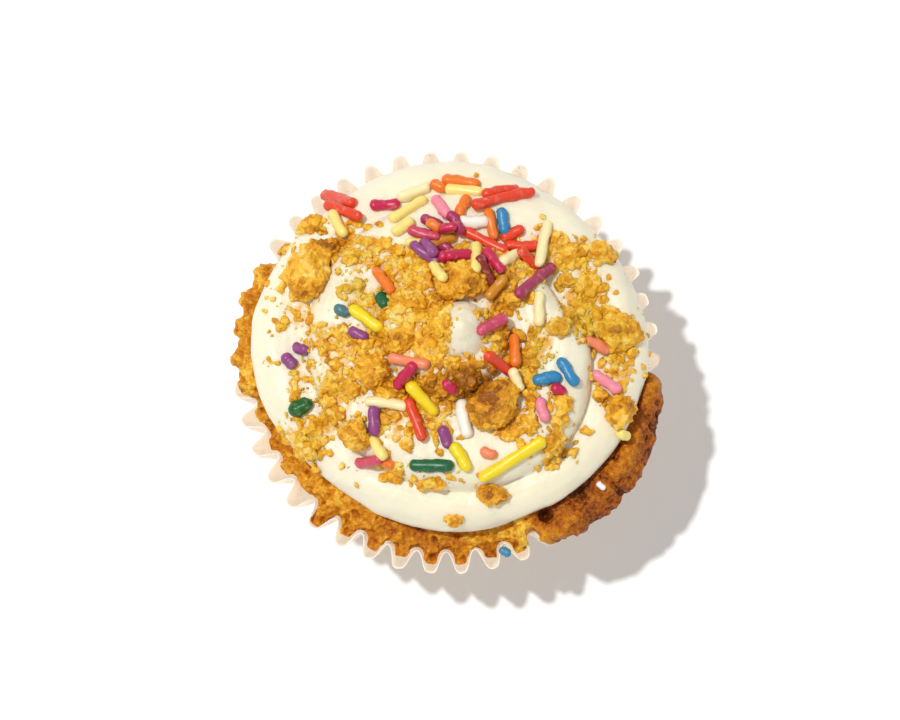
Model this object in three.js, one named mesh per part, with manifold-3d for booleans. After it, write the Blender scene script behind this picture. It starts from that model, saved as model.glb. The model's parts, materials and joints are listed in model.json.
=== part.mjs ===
// A cupcake in a pleated paper case: golden sponge that has risen over the rim on two sides, a piped swirl of
// buttercream, and a topping of biscuit crumbs and sugar strands.
// Millimetres, +Z up. The origin is the middle of the flat base that the case stands on, and -Y is the front.

import * as THREE from "three";
import { mergeVertices } from "three/addons/utils/BufferGeometryUtils.js";
import Module from "manifold-3d";

const wasm = await Module();
wasm.setup();

// Paper case: a flat disc of paper pressed into flutes, so that every fold line has the same length up the wall.
const FLUTES = 42;
const POINTS_PER_FLUTE = 8;
const BASE_RADIUS = 25;
const RIM_RADIUS = 34.2;
const WALL_SLANT = 33.5;
const BASE_FLUTE = 0.45; // from the middle of the wall out to a fold, at the base
const RIM_FLUTE = 1.75; // and at the rim
const FLUTE_ROUNDING = 0.3; // how far the sides of a flute lean back, which rounds its tips
const PAPER = 0.45; // real paper is about 0.1 thick; this is a sound wall
const GAP = 0.35; // between one piece and the next
// The inner folds lean out least, so the rim is highest there.
const RIM_TOP = Math.sqrt(WALL_SLANT ** 2 - (RIM_RADIUS - RIM_FLUTE - BASE_RADIUS + BASE_FLUTE) ** 2);

// Sponge: the height of its crust in the middle and where it meets the paper.
const CRUST_MIDDLE = 37;
const CRUST_EDGE = 28.3;
const CRUST_EDGE_RADIUS = 34;
const CRUST_WITHIN_FLUTES = 30; // the crust's radius inside all the folds
const CRUST_RINGS = [
  [FLUTES * 2, 26.5], // number of points and radius of each ring under the cream
  [FLUTES, 20],
  [FLUTES / 3, 10],
];
// Where it has risen higher, up to half an angle either side of a place, in degrees. Two of these places have
// overflowed the rim and reach out over the paper.
const RISEN = [
  { at: 171, half: 22, rise: 7, reach: 35.5, taper: 0.6, scallop: 0.6 },
  { at: -33, half: 30, rise: 8.4, reach: 37.9, taper: 2.5, scallop: 0 },
  { at: -105, half: 50, rise: 2.4 },
];
const RISE_FADE = 16; // degrees over which a rise falls away
const OVERHANG = 33.5; // height of the underside where the sponge reaches out over the paper
const CRAG = 0.5; // height of the crust's roughness

// Buttercream: one rope piped in a spiral on the sponge. The creases are where an upper turn meets the turn below
// it, as [angle round the spiral in degrees, radius].
const CREAM_CENTRE = new THREE.Vector2(0.7, 1.7);
const TIP_CENTRE = new THREE.Vector2(2.6, 1.9);
const CREAM_RADIUS = 31.8;
const CREAM_LOBE = 0.65; // the outline is not quite round
// It is also drawn in at the front left and let out at the front right: near is the half width in degrees of the
// full amount, and far is where it ends.
const CREAM_OUTLINE = [
  { at: 248, out: -0.8, near: 10, far: 55 },
  { at: -42, out: 0.9, near: 6, far: 28 },
];
const CREAM_EDGE = 4.6; // roundness of the outer turn's edge
const CREAM_WIDEST = 0.36; // where it is widest, as a share of its height above the crust
const ROPE_WIDTH = 11;
const ROPE_DEPTH = 4.2;
const SPIRAL_START = 17;
const CREASE = [
  [17, 31.5],
  [35, 31.2],
  [61, 28.3],
  [90, 25.2],
  [112, 23.6],
  [234, 23.8],
  [283, 25.4],
  [316, 25.9],
  [341, 24.4],
  [362, 22.5],
  [375, 18.8],
  [455, 14.5],
  [600, 11.5],
  [700, 7.5],
];
const ROPE_TOP = [
  [-343, 40.6],
  [17, 42.3],
  [110, 44.6],
  [377, 47.4],
  [560, 49.6],
  [740, 51.5],
];
const CREAM_SUNK = 1.5; // how far the cream goes into the sponge before it is cut to the crust
const TIP_HEIGHT = 56;
const TIP_RADIUS = 5.2;
const TIP_FALL = 6.5;

// Toppings.
const STRAND_RADIUS = 0.82;
const STRAND_LENGTHS = [4.2, 6.6];
const STRANDS = 36;
const CRUMBS = 27;
const CRUMB_RADII = [0.95, 2.1];
const TOPPING_SINK = 0.3; // share of a piece's radius that is pressed into the cream
const TOPPING_CLEARANCE = 0.5;
const CLUMP_ROOM = 0.5; // between a clump and the cream under it
const CLUMP_SEED = { first: 10, step: 7 }; // of the shapes of the clumps

// The big clumps of crumb lie apart, and each is a piece of its own: where it lies, and its half sizes.
const CLUMPS = {
  clump_upper_left: { x: -22.4, y: 12.4, size: [3.9, 4.1, 3.2] },
  clump_left_rim: { x: -22.2, y: 21.2, size: [2.8, 2.0, 1.5] },
  clump_back: { x: 2.1, y: 10.0, size: [4.5, 3.1, 2.9] },
  clump_middle: { x: 8, y: -9.8, size: [4.4, 4.1, 3.3] },
  clump_left: { x: -12, y: -4.2, size: [2.7, 3.1, 2.2] },
  clump_front_left: { x: -14.5, y: -14, size: [2.5, 2.7, 2.1] },
  clump_front: { x: 7.5, y: -23.5, size: [2.7, 2.4, 1.9] },
  clump_right: { x: 28.4, y: -10, size: [2.6, 2.6, 1.9] },
  clump_right_rim: { x: 25.9, y: 16, size: [3.2, 1.9, 1.5] },
};

// Small helpers: angles are in degrees where a name says so, and in radians inside the ring functions.
const lerp = THREE.MathUtils.lerp;
const clamp = THREE.MathUtils.clamp;
const smoothstep = THREE.MathUtils.smoothstep;
const radians = THREE.MathUtils.degToRad;

// One value read off a list of [place, value] pairs, eased between them.
function along(pairs, place) {
  const next = pairs.findIndex(([p]) => p >= place);
  if (next === 0) return pairs[0][1];
  if (next < 0) return pairs.at(-1)[1];
  const [p0, v0] = pairs[next - 1];
  const [p1, v1] = pairs[next];
  return lerp(v0, v1, (place - p0) / (p1 - p0));
}

function degreesBetween(angle, degrees) {
  const away = angle - radians(degrees);
  return Math.abs(THREE.MathUtils.radToDeg(Math.atan2(Math.sin(away), Math.cos(away))));
}

// A random number from 0 to 1 that depends on its three whole-number inputs alone.
function hash(i, j, k) {
  let h = Math.imul(i, 374761393) ^ Math.imul(j, 668265263) ^ Math.imul(k, 1440662683);
  h = Math.imul(h ^ (h >>> 13), 1274126177);
  return ((h ^ (h >>> 16)) >>> 0) / 4294967295;
}

// Smooth noise from -1 to 1.
function noise(x, y, z) {
  const [i, j, k] = [Math.floor(x), Math.floor(y), Math.floor(z)];
  const ease = (t) => t * t * (3 - 2 * t);
  const [u, v, w] = [ease(x - i), ease(y - j), ease(z - k)];
  const edge = (dj, dk) => lerp(hash(i, j + dj, k + dk), hash(i + 1, j + dj, k + dk), u);
  return 2 * lerp(lerp(edge(0, 0), edge(1, 0), v), lerp(edge(0, 1), edge(1, 1), v), w) - 1;
}

function seededRandom(seed) {
  let draws = 0;
  return () => hash(seed, ++draws, 7);
}

// Solids: a geometry as a manifold-3d solid, and back.
function toSolid(geometry) {
  const bare = geometry.clone();
  bare.deleteAttribute("normal");
  bare.deleteAttribute("uv");
  const merged = mergeVertices(bare, 1e-4);
  const mesh = new wasm.Mesh({
    numProp: 3,
    vertProperties: new Float32Array(merged.attributes.position.array),
    triVerts: new Uint32Array(merged.index.array),
  });
  return new wasm.Manifold(mesh);
}

// The largest body of a solid alone, which drops loose scraps and fills sealed hollows.
function toGeometry(solid) {
  const bodies = solid.decompose().sort((a, b) => b.volume() - a.volume());
  const mesh = bodies[0].getMesh();
  const positions = new Float32Array(mesh.numVert * 3);
  for (let i = 0; i < mesh.numVert; i++) {
    positions.set(mesh.vertProperties.subarray(i * mesh.numProp, i * mesh.numProp + 3), i * 3);
  }
  const geometry = new THREE.BufferGeometry();
  geometry.setAttribute("position", new THREE.BufferAttribute(positions, 3));
  geometry.setIndex(new THREE.BufferAttribute(mesh.triVerts, 1));
  geometry.computeVertexNormals();
  return geometry;
}

// A ring of points at even steps of angle round the axis. pointAt gives the point at an angle.
function ring(count, pointAt) {
  return Array.from({ length: count }, (_, i) => pointAt((i / count) * 2 * Math.PI, i));
}

// A closed surface over rings that may differ in their number of points. The rings run from the middle of the
// underside, out and up over the outside, and in to the middle of the top.
function skin(first, rings, last) {
  const points = [first, ...rings.flat(), last];
  const faces = [];
  let start = 1;
  rings[0].forEach((_, i) => faces.push(0, start + ((i + 1) % rings[0].length), start + i));
  for (let k = 0; k < rings.length - 1; k++) {
    const [n, m] = [rings[k].length, rings[k + 1].length];
    const next = start + n;
    const upwards = rings[k][0].z <= rings[k + 1][0].z; // so that the two faces of a wall are split alike
    for (let i = 0, j = 0; i < n || j < m; ) {
      const [onThis, onNext] = [start + (i % n), next + (j % m)];
      const lead = (j + 1) / m - (i + 1) / n;
      if (j >= m || (i < n && (lead > 1e-9 || (lead > -1e-9 && upwards)))) {
        faces.push(onThis, start + ((i + 1) % n), onNext);
        i++;
      } else {
        faces.push(onThis, next + ((j + 1) % m), onNext);
        j++;
      }
    }
    start = next;
  }
  const top = points.length - 1;
  const rim = rings.at(-1).length;
  for (let i = 0; i < rim; i++) faces.push(start + i, start + ((i + 1) % rim), top);
  const geometry = new THREE.BufferGeometry().setFromPoints(points);
  geometry.setIndex(faces);
  return geometry;
}

// The fluted wall: a ring of points at a share of the way up it, moved inwards from the paper's outer face.
function fluteRing(share, inset) {
  const at = (i) => {
    const turn = (i / POINTS_PER_FLUTE) * 2 * Math.PI;
    const swing = Math.cos(turn);
    const radius = lerp(BASE_RADIUS, RIM_RADIUS, share) + lerp(BASE_FLUTE, RIM_FLUTE, share) * swing;
    const run = radius - (BASE_RADIUS + BASE_FLUTE * swing);
    const lean = (FLUTE_ROUNDING * share * Math.sin(2 * turn)) / radius;
    const angle = (i / (FLUTES * POINTS_PER_FLUTE)) * 2 * Math.PI + lean;
    const height = Math.sqrt((WALL_SLANT * share) ** 2 - run ** 2);
    return new THREE.Vector3(radius * Math.cos(angle), radius * Math.sin(angle), height);
  };
  return ring(FLUTES * POINTS_PER_FLUTE, (_, i) => {
    const point = at(i);
    const tangent = at(i + 1).sub(at(i - 1)).setZ(0).normalize();
    return point.add(new THREE.Vector3(-tangent.y, tangent.x, 0).multiplyScalar(inset));
  });
}

const flat = (points, z) => points.map((p) => new THREE.Vector3(p.x, p.y, z));

function caseGeometry() {
  const rings = [fluteRing(0, 0), fluteRing(1, 0), fluteRing(1, PAPER), flat(fluteRing(0, PAPER), PAPER)];
  return skin(new THREE.Vector3(0, 0, 0), rings, new THREE.Vector3(0, 0, PAPER));
}

// How far the sponge has risen at an angle, and where it has spread out over the rim.
function overflow(angle) {
  let [rise, spread, reach] = [0, 0, 0];
  for (const place of RISEN) {
    const away = degreesBetween(angle, place.at);
    rise = Math.max(rise, place.rise * (1 - smoothstep(away, place.half, place.half + RISE_FADE)));
    const over = 1 - smoothstep(away, place.half - 7, place.half + 2);
    if (place.reach && over > 0) {
      spread = over;
      reach = place.reach - place.taper * (away / place.half) ** 2;
      reach += place.scallop * Math.cos(FLUTES * angle) + CRAG * noise(5 * angle, 5, 2);
    }
  }
  return { rise, spread, reach };
}

// Height of the sponge's crust, without its roughness.
function crustHeight(x, y) {
  const radius = Math.hypot(x, y);
  const share = radius / CRUST_EDGE_RADIUS;
  const edge = CRUST_EDGE + overflow(Math.atan2(y, x)).rise;
  return lerp(CRUST_MIDDLE, edge, Math.min(1, share) ** 2.6) - Math.max(0, radius - CRUST_EDGE_RADIUS) * 0.5;
}

// The crust is rough where it shows, and smooth under the cream.
function craggedCrust(angle, radius) {
  const [x, y] = [radius * Math.cos(angle), radius * Math.sin(angle)];
  const bare = Math.hypot(x - CREAM_CENTRE.x, y - CREAM_CENTRE.y) - (CREAM_RADIUS - 1);
  const rough = noise(x / 1.9, y / 1.9, 3) + 0.6 * noise(x / 0.9, y / 0.9, 9);
  return new THREE.Vector3(x, y, crustHeight(x, y) + CRAG * rough * clamp(bare, 0, 1));
}

// The sponge fills the flutes of the case up to its crust. Where it has overflowed, it leaves the wall just above
// the rim, goes out over the paper and turns up to the crust again.
function spongeGeometry() {
  const inset = PAPER + GAP;
  const foot = flat(fluteRing(0, inset), PAPER);
  const rim = fluteRing(1, inset);
  const upTheWall = (i, z) => foot[i].clone().lerp(rim[i], (z - PAPER) / (rim[i].z - PAPER));
  const wallTop = rim.map(({ x, y, z }, i) => {
    const angle = Math.atan2(y, x);
    const crust = CRUST_EDGE + overflow(angle).rise + 0.6 * CRAG * noise(9 * angle, 1, 4);
    return upTheWall(i, Math.min(z + 2 * GAP, crust));
  });
  const lip = (inwards, outwards, upwards) =>
    ring(FLUTES * 4, (angle) => {
      const { spread, reach } = overflow(angle);
      const crust = craggedCrust(angle, lerp(CRUST_WITHIN_FLUTES - inwards, reach - outwards, spread));
      return spread === 0 ? crust : crust.setZ(Math.min(crust.z, lerp(OVERHANG, crust.z, upwards)));
    });
  const rings = [
    rim.map((_, i) => upTheWall(i, inset)),
    wallTop,
    lip(0, 0.5, 0),
    lip(0.5, 0, 0.45),
    lip(1, 0.7, 0.9),
    lip(1.7, 3, 1),
    ...CRUST_RINGS.map(([count, radius]) => ring(count, (angle) => craggedCrust(angle, radius))),
  ];
  return skin(new THREE.Vector3(0, 0, inset), rings, new THREE.Vector3(0, 0, CRUST_MIDDLE));
}

// Outline of the cream.
function creamRadius(angle) {
  let radius = CREAM_RADIUS + CREAM_LOBE * (Math.cos(2 * angle) + Math.cos(4 * angle));
  for (const { at, out, near, far } of CREAM_OUTLINE) {
    radius += out * (1 - smoothstep(degreesBetween(angle, at), near, far));
  }
  return radius;
}

// The swirl's middle drifts from the middle of the outline to the tip.
function fromSwirlMiddle(x, y) {
  const away = Math.hypot(x - CREAM_CENTRE.x, y - CREAM_CENTRE.y);
  const drift = 1 - smoothstep(away, 5, 25);
  const middle = CREAM_CENTRE.clone().lerp(TIP_CENTRE, drift);
  return { radius: Math.hypot(x - middle.x, y - middle.y), angle: Math.atan2(y - middle.y, x - middle.x) };
}

// Height of the round edge of the lowest turn, at a distance in from the outline, on a crust of a given height.
function edgeHeight(inwards, top, crust) {
  const across = clamp(1 - inwards / CREAM_EDGE, 0, 1);
  return lerp(lerp(crust, top, CREAM_WIDEST), top, Math.sqrt(1 - across ** 2));
}

// Top surface of the cream: the highest of the turns that pass over a place.
function creamHeight(x, y) {
  const { radius, angle } = fromSwirlMiddle(x, y);
  const degrees = (THREE.MathUtils.radToDeg(angle) - SPIRAL_START + 720) % 360;
  const spiral = degrees + SPIRAL_START;
  const outline = Math.hypot(x - CREAM_CENTRE.x, y - CREAM_CENTRE.y);
  const outlineAngle = Math.atan2(y - CREAM_CENTRE.y, x - CREAM_CENTRE.x);
  const inwards = creamRadius(outlineAngle) - outline;
  const crust = crustHeight(x, y);
  let height = edgeHeight(inwards, along(ROPE_TOP, spiral - 360), crust);
  for (const turn of [spiral, spiral + 360]) {
    const across = 1 - (2 * (along(CREASE, turn) - radius)) / ROPE_WIDTH;
    const top = along(ROPE_TOP, turn);
    if (across < 1) {
      const rope = top - ROPE_DEPTH * (1 - Math.sqrt(1 - Math.max(0, across) ** 2.4));
      height = Math.max(height, Math.min(rope, edgeHeight(inwards, rope, crust)));
    }
  }
  const tip = TIP_HEIGHT - TIP_FALL * Math.min(1, radius / TIP_RADIUS) ** 1.3;
  return radius < TIP_RADIUS ? Math.max(height, tip) : height;
}

// The cream as a solid: rings with six points more each time cover its top evenly, its edge is round, and its
// underside goes a little way into the sponge, to be cut to the crust.
function creamGeometry() {
  const place = (angle, radius) => [
    CREAM_CENTRE.x + radius * Math.cos(angle),
    CREAM_CENTRE.y + radius * Math.sin(angle),
  ];
  const underneath = (x, y) =>
    GAP + Math.max(crustHeight(x, y), Math.hypot(x, y) > CRUST_WITHIN_FLUTES ? RIM_TOP : 0);
  const topRings = 16;
  const perRing = 6;
  const around = topRings * perRing;
  const edge = (tilt) =>
    ring(around, (a) => {
      const [x, y] = place(a, creamRadius(a) - CREAM_EDGE * (1 - Math.cos(radians(tilt))));
      const down = Math.max(0, -Math.sin(radians(tilt)));
      return new THREE.Vector3(x, y, lerp(creamHeight(x, y), underneath(x, y), down));
    });
  const sunk = edge(-90).map((p) => new THREE.Vector3(p.x, p.y, p.z - CREAM_SUNK));
  const top = Array.from({ length: topRings - 1 }, (_, k) => {
    const share = (topRings - 1 - k) / topRings;
    return ring((topRings - 1 - k) * perRing, (a) => {
      const [x, y] = place(a, creamRadius(a) * share);
      return new THREE.Vector3(x, y, creamHeight(x, y));
    });
  });
  const [x0, y0] = [CREAM_CENTRE.x, CREAM_CENTRE.y];
  return skin(
    new THREE.Vector3(x0, y0, CRUST_EDGE),
    [sunk, edge(-62), edge(0), edge(32), ...top],
    new THREE.Vector3(x0, y0, creamHeight(x0, y0)),
  );
}

// Which way the cream's surface faces at a place.
function creamNormal(x, y) {
  const step = 0.6;
  const dx = creamHeight(x + step, y) - creamHeight(x - step, y);
  const dy = creamHeight(x, y + step) - creamHeight(x, y - step);
  return new THREE.Vector3(-dx, -dy, 2 * step).normalize();
}

// A crumb: a lump with a surface of facets, from a ball whose points are pushed in and out.
function lumpGeometry(size, detail, roughness, seed) {
  const ball = new THREE.IcosahedronGeometry(1, detail);
  ball.deleteAttribute("normal");
  ball.deleteAttribute("uv");
  const lump = mergeVertices(ball, 1e-4);
  const position = lump.attributes.position;
  for (let i = 0; i < position.count; i++) {
    const p = new THREE.Vector3().fromBufferAttribute(position, i);
    const push = 1 + roughness * noise(p.x * 1.7 + seed, p.y * 1.7, p.z * 1.7 + seed);
    position.setXYZ(i, p.x * size[0] * push, p.y * size[1] * push, p.z * size[2] * push);
  }
  return lump;
}

// A sugar strand: a thin rod with rounded ends, lying along X.
function strandGeometry(length) {
  const half = length / 2;
  const round = STRAND_RADIUS * 0.6;
  const profile = [
    [0, -half],
    [STRAND_RADIUS, -half + round],
    [STRAND_RADIUS, half - round],
    [0, half],
  ].map(([r, along]) => new THREE.Vector2(r, along));
  return new THREE.LatheGeometry(profile, 5).rotateZ(-Math.PI / 2);
}

// Lays a piece on the cream, turned to its slope and pressed in by a share of its thickness.
function layOnCream(geometry, x, y, heading, thickness) {
  const normal = creamNormal(x, y);
  const turned = new THREE.Matrix4().makeRotationZ(heading);
  const tilted = new THREE.Matrix4().makeRotationFromQuaternion(
    new THREE.Quaternion().setFromUnitVectors(new THREE.Vector3(0, 0, 1), normal),
  );
  const lift = thickness * (1 - 2 * TOPPING_SINK);
  const seat = new THREE.Vector3(x, y, creamHeight(x, y)).addScaledVector(normal, lift);
  return geometry.applyMatrix4(turned).applyMatrix4(tilted).translate(seat.x, seat.y, seat.z);
}

// Scatters places for the small toppings over the parts of the swirl that carry them, well apart and clear of the
// clumps. The draw is seeded, so the places are the same each time.
function scatter(count, random, clear, taken, wanted) {
  const places = [];
  for (let tries = 0; places.length < count && tries < 20000; tries++) {
    const angle = random() * 2 * Math.PI;
    const away = (CREAM_RADIUS - 3.5) * Math.sqrt(random());
    const [x, y] = [CREAM_CENTRE.x + away * Math.cos(angle), CREAM_CENTRE.y + away * Math.sin(angle)];
    const free = taken.every((t) => Math.hypot(t.x - x, t.y - y) > t.clear + clear);
    if (!free || random() > wanted(x, y)) continue;
    places.push({ x, y, clear });
    taken.push({ x, y, clear });
  }
  return places;
}

// The crumbs cover the middle and the left of the swirl and thin out to the front; most strands lie at the back.
function crumbsWanted(x, y) {
  const away = Math.hypot(x - CREAM_CENTRE.x, y - CREAM_CENTRE.y);
  const front = smoothstep(-y, 12, 20);
  const back = smoothstep(y, 14, 22) * smoothstep(x, -16, -6);
  return (1 - 0.85 * front) * (1 - 0.8 * back) * (1 - smoothstep(away, 23, 29));
}

function strandsWanted(x, y) {
  const pile = Math.exp(-(((x - 4) / 10) ** 2) - ((y - 18) / 6) ** 2);
  return 0.22 + pile;
}

function toppings() {
  const random = seededRandom(11);
  const taken = Object.values(CLUMPS).map(({ x, y, size }) => {
    return { x, y, clear: Math.max(...size) + TOPPING_CLEARANCE };
  });
  const pieces = [];
  const strands = scatter(STRANDS, random, STRAND_RADIUS * 1.15, taken, strandsWanted);
  for (const { x, y } of strands) {
    const length = lerp(...STRAND_LENGTHS, random());
    pieces.push(layOnCream(strandGeometry(length), x, y, random() * Math.PI, STRAND_RADIUS));
  }
  for (let n = 0; n < CRUMBS; n++) {
    const radius = lerp(...CRUMB_RADII.toReversed(), (n / CRUMBS) ** 0.6);
    const [place] = scatter(1, random, radius * 0.8, taken, crumbsWanted);
    if (!place) continue;
    const size = [radius, radius * lerp(0.75, 1, random()), radius * 0.8];
    const lump = lumpGeometry(size, 0, 0.35, n * 3.1);
    pieces.push(layOnCream(lump, place.x, place.y, random() * Math.PI, size[2]));
  }
  return pieces;
}

function clumpGeometry({ x, y, size }, seed, creamAndRoom) {
  const lump = layOnCream(lumpGeometry(size, 1, 0.3, seed), x, y, 0, size[2]);
  return toGeometry(toSolid(lump).subtract(creamAndRoom));
}

const FINISHES = {
  paper: { color: 0xe9e2d8, roughness: 0.6, metalness: 0 },
  sponge: { color: 0xb8742c, roughness: 0.85, metalness: 0 },
  cream: { color: 0xf6f0d8, roughness: 0.5, metalness: 0 },
  crumb: { color: 0xd29a3e, roughness: 0.7, metalness: 0 },
};

const cupcake = new THREE.Group();
cupcake.name = "cupcake";

function addPiece(name, geometry, finish) {
  const material = new THREE.MeshStandardMaterial({ ...FINISHES[finish], name: finish });
  const mesh = new THREE.Mesh(geometry, material);
  mesh.name = name;
  cupcake.add(mesh);
}

const sponge = toSolid(spongeGeometry());
const cream = toSolid(creamGeometry()).subtract(sponge.translate([0, 0, GAP]));
const creamAndRoom = cream.add(cream.translate([0, 0, CLUMP_ROOM]));
const clumps = Object.entries(CLUMPS).map(([name, clump], i) => {
  return [name, clumpGeometry(clump, CLUMP_SEED.first + CLUMP_SEED.step * i, creamAndRoom)];
});
const dressed = toppings().reduce((solid, piece) => solid.add(toSolid(piece)), cream);

addPiece("paper_case", caseGeometry(), "paper");
addPiece("sponge", toGeometry(sponge), "sponge");
addPiece("buttercream", toGeometry(dressed), "cream");
clumps.forEach(([name, geometry]) => addPiece(name, geometry, "crumb"));

export default cupcake;
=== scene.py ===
# %% [markdown]
# # A cupcake in a pleated paper case
#
# This lesson dresses a plain CAD cupcake in Blender. It has a fluted paper case, a golden sponge that has risen over
# the rim on two sides, a piped swirl of buttercream, and a topping of crumble and coloured sugar strands. Everything is
# in metres, +Z is up, and the cupcake stands on its base at the origin with its front towards -Y.

import json
import math

import bmesh
import bpy
import numpy as np
from mathutils import Matrix, Vector, noise
from mathutils.bvhtree import BVHTree

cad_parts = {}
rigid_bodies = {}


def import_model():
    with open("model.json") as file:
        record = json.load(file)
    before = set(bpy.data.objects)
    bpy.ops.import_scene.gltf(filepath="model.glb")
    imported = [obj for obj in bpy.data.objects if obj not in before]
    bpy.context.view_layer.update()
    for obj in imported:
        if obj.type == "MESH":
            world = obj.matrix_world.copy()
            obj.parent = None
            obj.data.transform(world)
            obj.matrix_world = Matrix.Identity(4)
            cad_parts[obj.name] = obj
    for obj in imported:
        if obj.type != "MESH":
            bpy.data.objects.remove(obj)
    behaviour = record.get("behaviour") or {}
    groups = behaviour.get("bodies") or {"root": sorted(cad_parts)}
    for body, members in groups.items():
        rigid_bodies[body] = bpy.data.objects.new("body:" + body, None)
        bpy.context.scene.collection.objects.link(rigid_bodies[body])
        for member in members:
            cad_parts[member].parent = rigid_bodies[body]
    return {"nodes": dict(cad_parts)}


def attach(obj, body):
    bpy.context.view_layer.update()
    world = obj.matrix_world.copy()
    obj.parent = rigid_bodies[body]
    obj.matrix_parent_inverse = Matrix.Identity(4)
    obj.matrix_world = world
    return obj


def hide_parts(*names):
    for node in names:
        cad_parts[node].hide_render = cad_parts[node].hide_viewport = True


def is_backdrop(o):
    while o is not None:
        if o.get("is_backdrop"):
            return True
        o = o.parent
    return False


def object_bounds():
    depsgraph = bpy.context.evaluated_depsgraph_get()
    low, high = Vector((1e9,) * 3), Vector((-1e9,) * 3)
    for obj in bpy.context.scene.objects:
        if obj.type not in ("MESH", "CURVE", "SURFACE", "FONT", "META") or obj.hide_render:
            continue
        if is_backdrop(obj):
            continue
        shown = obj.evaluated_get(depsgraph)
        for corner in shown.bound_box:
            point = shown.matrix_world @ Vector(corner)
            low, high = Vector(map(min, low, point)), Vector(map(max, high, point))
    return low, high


MM = 0.001
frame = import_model()
cad_low, cad_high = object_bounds()
print("CAD nodes:", len(frame["nodes"]), "size in mm:", [round(side / MM, 1) for side in cad_high - cad_low])

# %% [markdown]
# ## Colours and nodes
#
# Colours are easiest to pick as the hex values that a picture editor shows, but Blender's sockets expect linear
# light. One function does that change. A second one adds a node to any tree, material or geometry: it sets the node's
# own options, links or fills its inputs, and hands back one output socket to link onwards. A third one links finished
# chains to a shader.


# %% Small helpers
def linear(hex_colour):
    parts = [int(hex_colour[i : i + 2], 16) / 255 for i in (1, 3, 5)]
    return [p / 12.92 if p <= 0.04045 else ((p + 0.055) / 1.055) ** 2.4 for p in parts] + [1.0]


def add(tree, kind, inputs=(), output=0, **options):
    """inputs is a dict by socket name or a list in socket order; a value that is a socket is linked."""
    node = tree.nodes.new(kind)
    for option, value in options.items():
        setattr(node, option, value)
    named = inputs.items() if isinstance(inputs, dict) else enumerate(inputs)
    for key, value in named:
        if isinstance(value, bpy.types.NodeSocket):
            tree.links.new(value, node.inputs[key])
        elif value is not None:
            node.inputs[key].default_value = value
    return node.outputs[output]


def connect(shader, outputs):
    """Links outputs to the shader's sockets by name."""
    for socket, output in outputs.items():
        shader.id_data.links.new(output, shader.inputs[socket])


def paint_ramp(ramp, stops):
    """Sets a colour ramp to (place, hex colour) stops."""
    while len(ramp.elements) < len(stops):
        ramp.elements.new(1.0)
    for element, (at, colour) in zip(ramp.elements, stops):
        element.position = at
        element.color = linear(colour)


print("white is", [round(c, 2) for c in linear("#ffffff")])

# %% [markdown]
# ## Camera
#
# The photograph looks almost straight down, tipped nine degrees towards the front. A long lens keeps the tall sides
# from spreading. The middle of the picture falls on a point at the height of the paper's rim, so the distance follows
# from the lens and from how many millimetres the picture is wide there.

# %% Camera
PICTURE = (900, 720)  # pixels
MM_PER_PIXEL = 0.168  # at the height of the rim
LENS = 135.0
SENSOR = 36.0
TILT = math.radians(9)
AIM = Vector((0.67, 0.0, 32.0)) * MM

distance = PICTURE[0] * MM_PER_PIXEL * MM * LENS / SENSOR
towards_camera = Vector((0, -math.sin(TILT), math.cos(TILT)))
camera_data = bpy.data.cameras.new("camera")
camera_data.lens = LENS
camera_data.sensor_width = SENSOR
camera_data.clip_start = 0.01
camera = bpy.data.objects.new("camera", camera_data)
bpy.context.scene.collection.objects.link(camera)
camera.location = AIM + towards_camera * distance
camera.rotation_euler = (TILT, 0, 0)
bpy.context.scene.camera = camera

FOCAL = LENS / SENSOR * PICTURE[0]  # in pixels
TURN = camera.rotation_euler.to_matrix()


def pixel_ray(px, py):
    """Where the line of sight through a pixel of the picture goes from the camera."""
    return (TURN @ Vector((px - PICTURE[0] / 2, PICTURE[1] / 2 - py, -FOCAL))).normalized()


def pixel_at_height(px, py, height):
    """The point at a height in metres that a pixel shows."""
    way = pixel_ray(px, py)
    return camera.location + way * ((height - camera.location.z) / way.z)


def pixels_of(points):
    """Pixels at which an array of points is seen."""
    seen = (np.asarray(points) - np.array(camera.location)) @ np.array(TURN)
    return PICTURE[0] / 2 + FOCAL * seen[:, 0] / -seen[:, 2], PICTURE[1] / 2 - FOCAL * seen[:, 1] / -seen[:, 2]


print("the camera is", round(distance, 3), "m from the rim")

# %% [markdown]
# ## Light and floor
#
# The shadow in the photograph falls to the lower right and has a fairly soft edge, so one sun lamp stands high on the
# left, a little behind. Its angle sets how soft that edge is. A pale world fills the shadow. The floor's white paint
# comes from a function that starts every material of this lesson.

# %% Light and floor
SUN_HEIGHT = math.radians(71.2)
SUN_FROM = math.radians(163)  # the side that the light comes from, counted from +X
SUN_SOFTNESS = math.radians(2.0)
SUN_ENERGY = 2.04
SUN_COLOUR = (0.985, 0.995, 1.0)
SKY_COLOUR = "#f9fafd"
SKY_STRENGTH = 0.55
FLOOR_HALF = 2.0  # metres, so that its edge stays out of every view

sun_data = bpy.data.lights.new("key", "SUN")
sun_data.energy = SUN_ENERGY
sun_data.angle = SUN_SOFTNESS
sun_data.color = SUN_COLOUR
sun = bpy.data.objects.new("key", sun_data)
bpy.context.scene.collection.objects.link(sun)
level = math.cos(SUN_HEIGHT)
sun_way = Vector((level * math.cos(SUN_FROM), level * math.sin(SUN_FROM), math.sin(SUN_HEIGHT)))
sun.rotation_euler = sun_way.to_track_quat("Z", "Y").to_euler()

world = bpy.data.worlds.new("studio")
bpy.context.scene.world = world
world.use_nodes = True
sky = world.node_tree.nodes["Background"]
sky.inputs["Color"].default_value = linear(SKY_COLOUR)
sky.inputs["Strength"].default_value = SKY_STRENGTH
bpy.context.scene.view_settings.view_transform = "Standard"

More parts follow.
